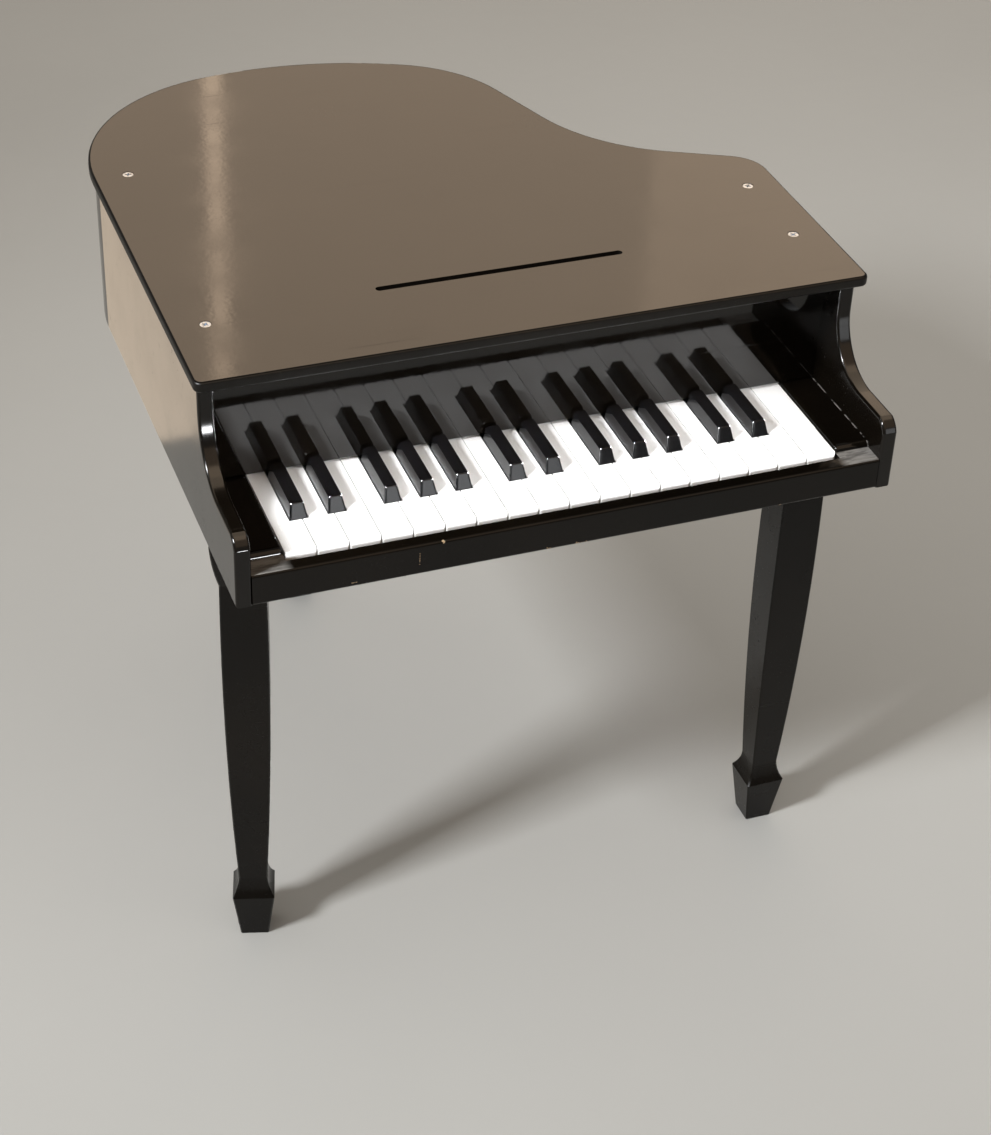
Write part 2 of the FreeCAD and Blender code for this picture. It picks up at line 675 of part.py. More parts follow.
def chime_posts():
    """Two blocks that carry the chime block clear of the key levers."""
    half = CHIME_POST_WIDTH / 2
    posts = []
    for x, y in CHIME_SCREW_PLACES:
        block = box(x - half, x + half, CHIME_BLOCK_FRONT_Y, CHIME_BLOCK_BACK_Y, BOTTOM_TOP_Z, CHIME_BLOCK_Z)
        block = drill(block, LONG_SCREW, [(x, y)], SUNK_BOTTOM_Z, True)
        posts.append(drill(block, CHIME_SCREW, [(x, y)], SUNK_CHIME_Z))
    return Part.makeCompound(posts)


def chime_block(sticks):
    """Cast bar that holds the chimes by one end."""
    end = CHIME_POST_X + CHIME_POST_WIDTH / 2
    top = CHIME_BLOCK_Z + CHIME_BLOCK_HEIGHT
    bar = box(-end, end, CHIME_BLOCK_FRONT_Y, CHIME_BLOCK_BACK_Y, CHIME_BLOCK_Z, top)
    bore = CHIME_DIAMETER + 2 * CHIME_FIT
    seat, mouth = CHIME_BLOCK_BACK_Y - CHIME_SEAT, CHIME_BLOCK_BACK_Y + OVERCUT
    bar = bar.cut([bar_y(x, seat, mouth, CHIME_Z, bore) for x in sticks])
    return drill(bar, CHIME_SCREW, CHIME_SCREW_PLACES, SUNK_CHIME_Z)


def chime_rods(sticks):
    """Steel chimes, one over each hammer, shortening towards the treble."""
    front = CHIME_BLOCK_BACK_Y - CHIME_SEAT
    return Part.makeCompound([
        bar_y(x, front, CHIME_BLOCK_BACK_Y + chime_length(index), CHIME_Z, CHIME_DIAMETER)
        for index, x in enumerate(sticks)])


def screws(length, places, z, upwards=False):
    """Group of identical screws."""
    return Part.makeCompound([placed(countersunk_screw(length), x, y, z, upwards) for x, y in places])


def leg_profile(stretch, trim):
    """Front view of a leg: swelling head, swelling taper, ankle and spade foot.

    Its half widths are stretched and then trimmed, for the cut across the corners.
    """
    widths = (LEG_HEAD_WIDTH, LEG_SHAFT_WIDTH, LEG_ANKLE_WIDTH, LEG_FOOT_WIDTH, LEG_SOLE_WIDTH)
    head, shaft, ankle, foot, sole = [width / 2 * stretch - trim for width in widths]
    shaft_z = LEG_HEIGHT - LEG_HEAD_HEIGHT
    head_swell = ((head + shaft) / 2 + LEG_HEAD_BULGE * stretch, (LEG_HEIGHT + shaft_z) / 2)
    swell = ((shaft + ankle) / 2 + LEG_SHAFT_BULGE * stretch, (shaft_z + LEG_ANKLE_HEIGHT) / 2)
    flare = (between(foot, ankle, LEG_FOOT_HOLLOW), (LEG_ANKLE_HEIGHT + LEG_FOOT_HEIGHT) / 2)

    def half(sign):
        """Border of one side from the top down."""
        corners = (
            (head, LEG_HEIGHT), head_swell, (shaft, shaft_z), swell, (ankle, LEG_ANKLE_HEIGHT),
            flare, (foot, LEG_FOOT_HEIGHT), (sole, 0),
        )
        p = [Vector(sign * x, 0, z) for x, z in corners]
        border = [arc(p[0], p[1], p[2]), arc(p[2], p[3], p[4]), arc(p[4], p[5], p[6])]
        return border + [line(p[6], p[7])]

    top = line(Vector(-head, 0, LEG_HEIGHT), Vector(head, 0, LEG_HEIGHT))
    bottom = line(Vector(-sole, 0, 0), Vector(sole, 0, 0))
    return Part.Face(Part.Wire(Part.__sortEdges__(half(1) + half(-1) + [top, bottom])))


def leg(x, y, turn):
    """Square leg, turned on its bolt: the same profile on all four faces, with planed corners."""
    views = []
    for angle in (0, 45, 90, 135):
        across = angle % 90
        profile = leg_profile(math.sqrt(2), LEG_CORNER_CUT) if across else leg_profile(1, 0)
        profile.translate(Vector(0, -LEG_HEAD_WIDTH, 0))
        view = profile.extrude(Vector(0, 2 * LEG_HEAD_WIDTH, 0))
        view.rotate(Vector(0, 0, 0), Vector(0, 0, 1), angle + turn)
        views.append(view)
    body = views[0].common(views[2]).common(views[1]).common(views[3])
    body.translate(Vector(x, y, 0))
    return bolt_holes(body)


def rear_leg_block():
    """Block inside the tail that anchors the rear leg's bolt, trimmed to the wall."""
    x, y = LEG_PLACES["rear_leg"]
    wide, deep = REAR_BLOCK_WIDTH / 2, REAR_BLOCK_DEPTH / 2
    top = BOTTOM_TOP_Z + REAR_BLOCK_HEIGHT
    block = box(x - wide, x + wide, y - deep, y + deep, BOTTOM_TOP_Z, top)
    return bolt_holes(block.common(inside_walls(BOTTOM_TOP_Z, top)))


def leg_bolts():
    """Hanger bolts that hold the legs."""
    return Part.makeCompound([
        post(x, y, CASE_Z - LEG_BOLT_IN_LEG, CASE_Z + LEG_BOLT_IN_CASE, LEG_BOLT_DIAMETER)
        for x, y in LEG_PLACES.values()])


def lever(x):
    """Stick with its pivot bore and the weighted tail that brings the key back up."""
    half = STICK_WIDTH / 2
    stick = box(x - half, x + half, KEY_REACH_UNDER_FALLBOARD, TAIL_END_Y, SKIRT_Z, KEY_Z)
    weight = box(x - half, x + half, TAIL_WEIGHT_Y, TAIL_END_Y, SKIRT_Z, TAIL_TOP_Z)
    bore = bar_x(x - half - OVERCUT, x + half + OVERCUT, PIVOT_SETBACK, PIVOT_Z, PIVOT_BORE)
    return stick.fuse(weight).removeSplitter().cut(bore)


def hammer(x):
    """Striker seated on the key's tail, rounded where it meets its chime."""
    half = STICK_WIDTH / 2
    radius = HAMMER_DEPTH / 2
    shoulder = HAMMER_TOP_Z - radius
    foot = box(x - half, x + half, HAMMER_Y - radius, HAMMER_Y + radius, TAIL_TOP_Z, shoulder)
    return foot.fuse(bar_x(x - half, x + half, HAMMER_Y, shoulder, HAMMER_DEPTH)).removeSplitter()


def white_head(place):
    """Hollow moulded top of a white key, notched for the black keys beside it."""
    half_gap = KEY_GAP / 2
    notch = -BLACK_LENGTH - KEY_GAP
    x0, x1 = place.head_left + half_gap, place.head_right - half_gap
    tail_x0 = max(place.tail_left, place.head_left) + half_gap
    tail_x1 = min(place.tail_right, place.head_right) - half_gap
    body = box(x0, x1, KEY_FRONT_Y, notch, SKIRT_Z, KEY_Z)
    body = fillet(body, WHITE_ROUND, lambda b: b.ZLength > TOLERANCE and at(b.YMax, KEY_FRONT_Y))
    body = fillet(body, WHITE_EDGE_ROUND, lambda b: at(b.ZMin, KEY_Z) and not at(b.YMin, notch))
    tail = box(tail_x0, tail_x1, notch - KEY_WALL, KEY_REACH_UNDER_FALLBOARD, SKIRT_Z, KEY_Z)
    body = body.fuse(tail).removeSplitter()
    hollow_y, hollow_z, ceiling = KEY_FRONT_Y + KEY_WALL, SKIRT_Z - OVERCUT, KEY_Z - KEY_TOP_THICKNESS
    for left, right, back in ((x0, x1, notch), (tail_x0, tail_x1, KEY_REACH_UNDER_FALLBOARD)):
        hollow = box(left + KEY_WALL, right - KEY_WALL, hollow_y, back - KEY_WALL, hollow_z, ceiling)
        body = body.cut(hollow)
    return body


def rectangle(x0, x1, y0, y1, z):
    """Level rectangular wire."""
    corners = [Vector(x, y, z) for x, y in ((x0, y0), (x1, y0), (x1, y1), (x0, y1), (x0, y0))]
    return Part.makePolygon(corners)


def black_head(place):
    """Hollow moulded top of a black key with drafted sides and a sloping front."""
    x = stick_x(place)
    half = (place.tail_right - place.tail_left - KEY_GAP) / 2
    top_half = half - BLACK_SIDE_DRAFT
    front = -BLACK_LENGTH
    slope = front + BLACK_FRONT_DRAFT
    back = -BLACK_REAR_GAP
    top_z = KEY_Z + BLACK_HEIGHT
    lower = rectangle(x - half, x + half, front, back, KEY_Z)
    upper = rectangle(x - top_half, x + top_half, slope, back, top_z)
    crown = Part.makeLoft([lower, upper], True, True)
    crown = fillet(crown, BLACK_ROUND, lambda b: b.ZMax > KEY_Z + TOLERANCE)
    skirt = box(x - half, x + half, front, KEY_REACH_UNDER_FALLBOARD, SKIRT_Z, KEY_Z)
    inner = half - KEY_WALL
    hollow = box(x - inner, x + inner, slope + KEY_WALL, back - KEY_WALL, SKIRT_Z - OVERCUT,
                 top_z - BLACK_TOP_THICKNESS)
    return crown.fuse(skirt).removeSplitter().cut(hollow)


def key(place):
    """One key: its moulding and the hammer seated on its tail."""
    x = stick_x(place)
    head = black_head(place) if place.is_black else white_head(place)
    return Part.makeCompound([head.fuse(lever(x)).removeSplitter(), hammer(x)])


def stick_x(place):
    """Centre line of a key's lever."""
    return (place.tail_left + place.tail_right) / 2


def key_name(index, place):
    """Node name of a key, numbered from the bass."""
    return f"key_{index + 1:02d}_{place.note}"


def build():
    """All the pieces by name."""
    sticks = [stick_x(place) for place in LAYOUT]
    pieces = {
        "lid": lid(),
        "lid_screws": screws(LONG_SCREW, LID_SCREW_PLACES, SUNK_LID_Z),
        "lid_cleats": cleats(),
        "left_side": side_board(-1, SPINE_END_Y),
        "right_side": side_board(1, SHOULDER_Y),
        "bent_rim": bent_rim(),
        "bottom_board": bottom_board(),
        "front_rail": front_rail(),
        "fallboard": fallboard(),
        "fallboard_cleats": fallboard_cleats(),
        "left_key_block": key_block(-1),
        "right_key_block": key_block(1),
        "pivot_rail": pivot_rail(sticks),
        "pivot_rod": pivot_rod(),
        "front_felt": front_felt(),
        "back_rail": back_rail(),
        "back_felt": back_felt(),
        "chime_block": chime_block(sticks),
        "chime_rods": chime_rods(sticks),
        "chime_posts": chime_posts(),
        "chime_screws": screws(CHIME_SCREW, CHIME_SCREW_PLACES, SUNK_CHIME_Z),
        "rear_leg_block": rear_leg_block(),
        "leg_bolts": leg_bolts(),
        "bottom_screws": screws(LONG_SCREW, BOTTOM_SCREW_PLACES, SUNK_BOTTOM_Z, True),
        "rail_screws": screws(SHORT_SCREW, RAIL_SCREW_PLACES, SUNK_BOTTOM_Z, True),
    }
    for name, (x, y) in LEG_PLACES.items():
        pieces[name] = leg(x, y, LEFT_LEG_TURN if name == "left_leg" else 0)
    for index, place in enumerate(LAYOUT):
        pieces[key_name(index, place)] = key(place)
    for shape in pieces.values():
        shape.translate(DATUM_SHIFT)
    return pieces


def main():
    """Write every piece and say what the keys weigh about their rod."""
    os.makedirs("parts", exist_ok=True)
    pieces = build()
    for name, shape in pieces.items():
        shape.exportStep(f"parts/{name}.step")
    pivot_y = PIVOT_SETBACK + DATUM_SHIFT.y
    for index, place in enumerate(LAYOUT):
        name = key_name(index, place)
        moment = sum(solid.Volume * (solid.CenterOfMass.y - pivot_y) for solid in pieces[name].Solids)
        print(name, "tail-heavy by", round(moment), "mm4")


main()
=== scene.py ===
"""Looks of a black toy grand piano: its finishes, screws, felts, studio and camera.

Metres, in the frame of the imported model: +Z up, +X from bass to treble, -Y towards the player.
"""
from __future__ import annotations

import json
import logging
import math
import random
from dataclasses import dataclass, field
from enum import Enum

import bmesh
import bpy
from mathutils import Matrix, Vector

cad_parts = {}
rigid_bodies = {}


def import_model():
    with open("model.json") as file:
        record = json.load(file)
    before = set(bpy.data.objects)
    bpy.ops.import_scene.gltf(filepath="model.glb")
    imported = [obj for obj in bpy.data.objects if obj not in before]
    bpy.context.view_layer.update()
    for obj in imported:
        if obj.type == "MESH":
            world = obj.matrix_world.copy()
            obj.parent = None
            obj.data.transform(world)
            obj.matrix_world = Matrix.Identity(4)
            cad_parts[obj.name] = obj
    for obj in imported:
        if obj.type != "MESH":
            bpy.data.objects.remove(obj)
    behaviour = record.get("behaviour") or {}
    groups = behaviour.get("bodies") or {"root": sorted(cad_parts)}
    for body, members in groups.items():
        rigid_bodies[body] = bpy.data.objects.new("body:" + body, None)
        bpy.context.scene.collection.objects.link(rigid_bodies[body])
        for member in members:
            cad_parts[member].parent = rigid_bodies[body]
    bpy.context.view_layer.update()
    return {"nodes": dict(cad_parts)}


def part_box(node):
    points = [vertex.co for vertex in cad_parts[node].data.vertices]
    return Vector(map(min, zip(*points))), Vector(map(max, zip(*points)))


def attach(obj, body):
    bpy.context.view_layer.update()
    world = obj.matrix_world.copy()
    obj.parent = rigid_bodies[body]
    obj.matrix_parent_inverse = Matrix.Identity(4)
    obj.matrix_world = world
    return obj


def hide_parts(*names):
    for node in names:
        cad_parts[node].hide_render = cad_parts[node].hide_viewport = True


Colour = tuple[float, float, float]
Point = tuple[float, float, float]
Range = tuple[float, float]
LOG = logging.getLogger("toy_piano")
CASE_BODY = "case"
MM = 0.001
# Pale grey of the ledge and joint marks; on the ledge it is a painted sheen, a reflection painted into the
# colour.
FILM_AND_PAINTED_SHEEN_GREY: Colour = (0.26, 0.25, 0.235)


class Facing(Enum):
    """Which way a screw's head looks, as a turn about X."""

    UP = 0.0
    DOWN = math.pi


@dataclass(frozen=True)
class Mottle:
    """Smooth noise, and the range of its values over which a mark comes in."""

    scale: float
    detail: float
    low: float
    high: float


class Recipe:
    """A material's node tree while it is being put together."""

    def __init__(self, name: str) -> None:
        """Start a material with a plain Principled surface.

        Args:
            name: Name of the material.
        """
        self.material = bpy.data.materials.new(name)
        self.material.use_nodes = True
        self.tree = self.material.node_tree
        self.surface = self.tree.nodes["Principled BSDF"]
        self.place = self.add("ShaderNodeTexCoord").outputs["Object"]

    def add(self, kind: str, **settings: object) -> bpy.types.Node:
        """Add a node.

        Args:
            kind: Blender's name of the node type.
            settings: Properties to set on the node.
        Returns:
            The new node.
        """
        node = self.tree.nodes.new(kind)
        for name, value in settings.items():
            setattr(node, name, value)
        return node

    def feed(self, socket: bpy.types.NodeSocket, value: object) -> None:
        """Link a socket to another one, or set its value.

        Args:
            socket: The input.
            value: An output, a number or a colour.
        """
        if isinstance(value, bpy.types.NodeSocket):
            self.tree.links.new(value, socket)
        elif isinstance(value, tuple) and len(value) == 3 and socket.type == "RGBA":
            socket.default_value = (*value, 1.0)
        else:
            socket.default_value = value

    def set(self, **values: object) -> None:
        """Set the surface's own sockets.

        Args:
            values: Value of each socket, with underscores for the spaces in its name.
        """
        for name, value in values.items():
            self.feed(self.surface.inputs[name.replace("_", " ")], value)

    def along(self, axis: str) -> bpy.types.NodeSocket:
        """One of the object's own coordinates.

        Args:
            axis: X, Y or Z.
        Returns:
            The coordinate's socket.
        """
        apart = self.add("ShaderNodeSeparateXYZ")
        self.feed(apart.inputs[0], self.place)
        return apart.outputs[axis]

    def stretch(self, scale: Point, turn_deg: Point = (0.0, 0.0, 0.0)) -> bpy.types.NodeSocket:
        """Object coordinates, turned and stretched for a pattern with a grain.

        Args:
            scale: Factor along each axis.
            turn_deg: Turn about each axis, in degrees.
        Returns:
            The coordinates' socket.
        """
        node = self.add("ShaderNodeMapping")
        self.feed(node.inputs["Vector"], self.place)
        node.inputs["Scale"].default_value = scale
        node.inputs["Rotation"].default_value = tuple(math.radians(angle) for angle in turn_deg)
        return node.outputs["Vector"]

    def noise(self, scale: float, detail: float, place: bpy.types.NodeSocket | None = None,
              ) -> bpy.types.NodeSocket:
        """Smooth noise.

        Args:
            scale: Blobs to the metre, about.
            detail: Octaves of finer noise.
            place: Coordinates, or None for the object's own.
        Returns:
            A factor from 0 to 1.
        """
        node = self.add("ShaderNodeTexNoise")
        self.feed(node.inputs["Vector"], place or self.place)
        node.inputs["Scale"].default_value = scale
        node.inputs["Detail"].default_value = detail
        return node.outputs["Fac"]

    def ease(self, source: bpy.types.NodeSocket, low: float, high: float, start: float = 0.0,
             end: float = 1.0) -> bpy.types.NodeSocket:
        """Ease a value from one range to another and hold it at the ends.

        Args:
            source: The value.
            low: Where the change begins.
            high: Where it ends.
            start: Result at low.
            end: Result at high.
        Returns:
            The eased value.
        """
        node = self.add("ShaderNodeMapRange", interpolation_type="SMOOTHSTEP")
        for name, value in (("Value", source), ("From Min", low), ("From Max", high),
                            ("To Min", start), ("To Max", end)):
            self.feed(node.inputs[name], value)
        return node.outputs["Result"]

    def mottled(self, mottle: Mottle, start: float = 0.0, end: float = 1.0,
                place: bpy.types.NodeSocket | None = None) -> bpy.types.NodeSocket:
        """Noise eased to a range of results.

        Args:
            mottle: The noise and where it comes in.
            start: Result at its low end.
            end: Result at its high end.
            place: Coordinates, or None for the object's own.
        Returns:
            The eased noise.
        """
        return self.ease(self.noise(mottle.scale, mottle.detail, place), mottle.low, mottle.high, start, end)

    def math(self, operation: str, first: object, second: object = 0.0) -> bpy.types.NodeSocket:
        """One sum on two values.

        Args:
            operation: Blender's name of the sum.
            first: Number or socket.
            second: Number or socket.
        Returns:
            The result.
        """
        node = self.add("ShaderNodeMath", operation=operation)
        self.feed(node.inputs[0], first)
        self.feed(node.inputs[1], second)
        return node.outputs[0]

    def raised(self, value: bpy.types.NodeSocket, mask: bpy.types.NodeSocket, amount: float,
               ) -> bpy.types.NodeSocket:
        """A value raised by an amount where a mask is 1."""
        return self.math("ADD", value, self.math("MULTIPLY", mask, amount))

    def mix(self, share: bpy.types.NodeSocket, first: object, second: object) -> bpy.types.NodeSocket:
        """Colour between two colours.

        Args:
            share: 0 for the first colour, 1 for the second.
            first: Colour or socket.
            second: Colour or socket.
        Returns:
            The mixed colour.
        """
        node = self.add("ShaderNodeMix", data_type="RGBA")
        for index, value in ((0, share), (6, first), (7, second)):
            self.feed(node.inputs[index], value)
        return node.outputs[2]

    def bump(self, height: bpy.types.NodeSocket, depth: float, under: bpy.types.NodeSocket | None = None,
             ) -> bpy.types.NodeSocket:
        """Surface relief.

        Args:
            height: Relief from 0 to 1.
            depth: Depth in metres.
            under: A coarser relief below it.
        Returns:
            The normal.
        """
        node = self.add("ShaderNodeBump")
        node.inputs["Distance"].default_value = depth
        self.feed(node.inputs["Height"], height)
        if under is not None:
            self.feed(node.inputs["Normal"], under)
        return node.outputs["Normal"]


@dataclass(frozen=True)
class Hairlines:
    """Fine scratches in two directions."""

    turns_deg: tuple[float, float] = (23.0, -57.0)
    lengthwise: tuple[float, float] = (4.0, 5.2)
    crosswise: float = 260.0
    show: Mottle = Mottle(1.0, 1.0, 0.735, 0.75)
    depth: float = 0.004 * MM
    dulls: float = 0.10

    def mask(self, recipe: Recipe) -> bpy.types.NodeSocket:
        """Mask of the scratches.

        Args:
            recipe: The material being built.
        Returns:
            1 in a scratch and 0 beside it.
        """
        ways = []
        for turn, length in zip(self.turns_deg, self.lengthwise):
            grain = recipe.stretch((length, self.crosswise, self.crosswise), (0.0, 0.0, turn))
            ways.append(recipe.mottled(self.show, place=grain))
        return recipe.math("MAXIMUM", *ways)


@dataclass(frozen=True)
class LedgeFilmAndPaintedSheen:
    """Dull film on a level ledge, smeared and only towards the ledge's ends; its grey colour is a painted
    sheen, the reflection seen on the ledge's top.
    """

    level: float
    ends_from: float = 0.0
    # Painted sheen: this grey stands in for the ledge's reflection; the roughness raise is the real dull
    # film.
    colour: Colour = FILM_AND_PAINTED_SHEEN_GREY
    off_level: Range = (0.1 * MM, 0.3 * MM)
    smears: Mottle = Mottle(1.0, 3.0, 0.25, 0.7)
    smear_grain: Point = (60.0, 260.0, 60.0)
    thinnest: float = 0.35
    fade: float = 4.0 * MM
    dulls: float = 0.3

    def mask(self, recipe: Recipe) -> bpy.types.NodeSocket:
        """Mask of the film and its painted sheen.

        Args:
            recipe: The material being built.
        Returns:
            Near 1 on faces at the ledge's level and 0 elsewhere.
        """
        off = recipe.math("ABSOLUTE", recipe.math("SUBTRACT", recipe.along("Z"), self.level))
        level = recipe.ease(off, *self.off_level, 1.0, 0.0)
        smears = recipe.mottled(self.smears, self.thinnest, 1.0, recipe.stretch(self.smear_grain))
        across = recipe.math("ABSOLUTE", recipe.along("X"))
        ends = recipe.ease(across, self.ends_from - self.fade, self.ends_from + self.fade)
        return recipe.math("MULTIPLY", recipe.math("MULTIPLY", level, smears), ends)


@dataclass(frozen=True)
class JointLine:
    """Broken pale line where a key block meets the case's side."""

    x: float
    colour: Colour = FILM_AND_PAINTED_SHEEN_GREY
    fade: Range = (0.9 * MM, 0.4 * MM)
    breaks: Mottle = Mottle(130.0, 4.0, 0.40, 0.56)
    dulls: float = 0.5

    def mask(self, recipe: Recipe) -> bpy.types.NodeSocket:
        """Mask of the line.

        Args:
            recipe: The material being built.
        Returns:
            Near 1 along the joint and 0 away from it.
        """
        across = recipe.math("ABSOLUTE", recipe.along("X"))
        near = recipe.ease(across, self.x - self.fade[0], self.x - self.fade[1])
        return recipe.math("MULTIPLY", near, recipe.mottled(self.breaks))


@dataclass(frozen=True)
class DullEdge:
    """A board's edge, which is less rubbed than its face."""

    face_z: float
    fade: float = 0.6 * MM
    rough: float = 0.42

    def roughness(self, recipe: Recipe) -> bpy.types.NodeSocket:
        """A dull roughness below the board's face and 0 on it."""
        return recipe.ease(recipe.along("Z"), self.face_z - self.fade, self.face_z, self.rough, 0.0)


@dataclass(frozen=True)
class Nick:
    """A knock in the lacquer."""

    place: Point
    half: Point


@dataclass(frozen=True)
class BareWood:
    """Wood that shows in the lacquer's nicks."""

    nicks: tuple[Nick, ...]
    light: Colour = (0.50, 0.36, 0.22)
    dark: Colour = (0.30, 0.216, 0.132)
    grain_scale: float = 60.0
    grain_detail: float = 4.0
    grain: Point = (0.2, 1.0, 3.0)
    ragged: Mottle = Mottle(700.0, 2.0, 0.25, 0.75)
    ragged_by: float = 0.9
    rim: Range = (1.25, 1.05)
    depth: float = 0.4 * MM
    dulls: float = 0.6

    def colour(self, recipe: Recipe) -> bpy.types.NodeSocket:
        """The wood's colour, streaked along its grain."""
        grain = recipe.noise(self.grain_scale, self.grain_detail, recipe.stretch(self.grain))
        return recipe.mix(grain, self.light, self.dark)

    def mask(self, recipe: Recipe) -> bpy.types.NodeSocket:
        """Mask of the nicks.

        Args:
            recipe: The material being built.
        Returns:
            1 inside a nick and 0 outside.
        """
        ragged = recipe.mottled(self.ragged, 0.0, self.ragged_by)
        total: bpy.types.NodeSocket | None = None
        for nick in self.nicks:
            inside = recipe.add("ShaderNodeMapping", vector_type="TEXTURE")
            recipe.feed(inside.inputs["Vector"], recipe.place)
            inside.inputs["Location"].default_value = nick.place
            inside.inputs["Scale"].default_value = nick.half
            length = recipe.add("ShaderNodeVectorMath", operation="LENGTH")
            recipe.feed(length.inputs[0], inside.outputs["Vector"])
            mask = recipe.ease(recipe.math("ADD", length.outputs["Value"], ragged), *self.rim)
            total = mask if total is None else recipe.math("MAXIMUM", total, mask)
        return total


@dataclass(frozen=True)
class Lacquer:
    """Black lacquer rubbed to a gloss, with orange peel, dust, hairlines and other marks, among them a
    painted sheen on ledges.
    """

    name: str
    black: Colour = (0.0028, 0.0021, 0.0014)
    hazy: Colour = (0.0056, 0.0040, 0.0026)
    dust: Colour = (0.022, 0.020, 0.018)
    gloss: Range = (0.035, 0.085)
    ior: float = 1.41
    coat: float = 0.0
    coat_gloss: float = 0.02
    haze: Mottle = Mottle(9.0, 4.0, 0.35, 0.75)
    specks: Mottle = Mottle(900.0, 1.0, 0.70, 0.76)
    patches: Mottle = Mottle(14.0, 3.0, 0.45, 0.7)
    rubbing: Mottle = Mottle(22.0, 5.0, 0.3, 0.75)
    dust_dulls: float = 0.2
    peel_scale: float = 240.0
    peel_depth: float = 0.012 * MM
    hairlines: Hairlines = Hairlines()
    edge: DullEdge | None = None
    marks: tuple[LedgeFilmAndPaintedSheen | JointLine, ...] = ()
    bare: BareWood | None = None

    def material(self) -> bpy.types.Material:
        """Build the material.

        Returns:
            The material.
        """
        recipe = Recipe(self.name)
        dust = recipe.math("MULTIPLY", recipe.mottled(self.specks), recipe.mottled(self.patches))
        colour = recipe.mix(recipe.mottled(self.haze), self.black, self.hazy)
        colour = recipe.mix(dust, colour, self.dust)
        scratches = self.hairlines.mask(recipe)
        rough = recipe.mottled(self.rubbing, *self.gloss)
        rough = recipe.raised(rough, dust, self.dust_dulls)
        rough = recipe.raised(rough, scratches, self.hairlines.dulls)
        normal = recipe.bump(recipe.noise(self.peel_scale, detail=1.0), self.peel_depth)
        normal = recipe.bump(scratches, self.hairlines.depth, normal)
        if self.edge is not None:
            rough = recipe.math("MAXIMUM", rough, self.edge.roughness(recipe))
        # Marks mix in their grey; on the ledge that grey is a painted sheen, and each mark also dulls the
        # roughness.
        for mark in self.marks:
            mask = mark.mask(recipe)
            colour = recipe.mix(mask, colour, mark.colour)
            rough = recipe.raised(rough, mask, mark.dulls)
        if self.bare is not None:
            mask = self.bare.mask(recipe)
            colour = recipe.mix(mask, colour, self.bare.colour(recipe))
            rough = recipe.raised(rough, mask, self.bare.dulls)
            normal = recipe.bump(recipe.math("SUBTRACT", 1.0, mask), self.bare.depth, normal)
        recipe.set(Base_Color=colour, Roughness=rough, Normal=normal, IOR=self.ior, Coat_Weight=self.coat,
                   Coat_Roughness=self.coat_gloss)
        return recipe.material


@dataclass(frozen=True)
class KeyPlastic:
    """Moulded key plastic with a faint grain, scuffs and handling marks."""

    name: str
    clean: Colour
    handled: Colour
    gloss: Range
    coat: float
    ior: float
    coat_gloss: float = 0.05
    tint: Mottle = Mottle(26.0, 3.0, 0.3, 0.75)
    marks: Mottle = Mottle(150.0, 4.0, 0.45, 0.8)
    polish: Mottle = Mottle(70.0, 5.0, 0.3, 0.7)
    scuffs: Mottle = Mottle(1.0, 2.0, 0.66, 0.74)
    scuff_grain: Point = (500.0, 18.0, 60.0)
    scuffs_dull: float = 0.08
    grain_scale: float = 420.0
    grain_depth: float = 0.010 * MM

    def material(self) -> bpy.types.Material:
        """Build the material.

        Returns:
            The material.
        """
        recipe = Recipe(self.name)
        handling = recipe.math("MULTIPLY", recipe.mottled(self.tint), recipe.mottled(self.marks))
        scuffs = recipe.mottled(self.scuffs, place=recipe.stretch(self.scuff_grain))
        rough = recipe.raised(recipe.mottled(self.polish, *self.gloss), scuffs, self.scuffs_dull)
        normal = recipe.bump(recipe.noise(self.grain_scale, detail=2.0), self.grain_depth)
        recipe.set(Base_Color=recipe.mix(handling, self.clean, self.handled), Roughness=rough, Normal=normal,
                   IOR=self.ior, Coat_Weight=self.coat, Coat_Roughness=self.coat_gloss)
        return recipe.material


@dataclass(frozen=True)
class Steel:
    """Plated steel, turned and a little stained."""

    name: str
    bright: Colour = (0.66, 0.64, 0.60)
    stained: Colour = (0.36, 0.33, 0.29)
    gloss: Range = (0.2, 0.42)
    stain: Mottle = Mottle(300.0, 4.0, 0.45, 0.75)
    polish: Mottle = Mottle(900.0, 3.0, 0.3, 0.7)
    turning_grain: Point = (200.0, 5000.0, 200.0)
    turning_depth: float = 0.008 * MM

    def material(self) -> bpy.types.Material:
        """Build the material.

        Returns:
            The material.
        """
        recipe = Recipe(self.name)
        turning = recipe.noise(scale=1.0, detail=2.0, place=recipe.stretch(self.turning_grain))
        recipe.set(Base_Color=recipe.mix(recipe.mottled(self.stain), self.bright, self.stained),
                   Roughness=recipe.mottled(self.polish, *self.gloss), Metallic=1.0,
                   Normal=recipe.bump(turning, self.turning_depth))
        return recipe.material


@dataclass(frozen=True)
class Board:
    """Unpainted board: solid wood along its grain, or pressed fibres."""

    name: str
    light: Colour
    dark: Colour
    grain: Point
    gloss: Range = (0.55, 0.85)
    streaks: Range = (0.3, 0.72)
    dull_streaks: Range = (0.3, 0.7)
    fibre_scale: float = 1400.0
    fibre_shows: Range = (0.55, 0.8)
    fibre_share: float = 0.5
    fibre_depth: float = 0.06 * MM

    def material(self) -> bpy.types.Material:
        """Build the material.

        Returns:
            The material.
        """
        recipe = Recipe(self.name)
        grain = recipe.noise(scale=1.0, detail=6.0, place=recipe.stretch(self.grain))
        fibre = recipe.noise(self.fibre_scale, detail=2.0)
        colour = recipe.mix(recipe.ease(grain, *self.streaks), self.light, self.dark)
        specks = recipe.ease(fibre, *self.fibre_shows, 0.0, self.fibre_share)
        colour = recipe.mix(specks, colour, self.dark)
        recipe.set(Base_Color=colour, Roughness=recipe.ease(grain, *self.dull_streaks, *self.gloss),
                   Normal=recipe.bump(fibre, self.fibre_depth))
        return recipe.material


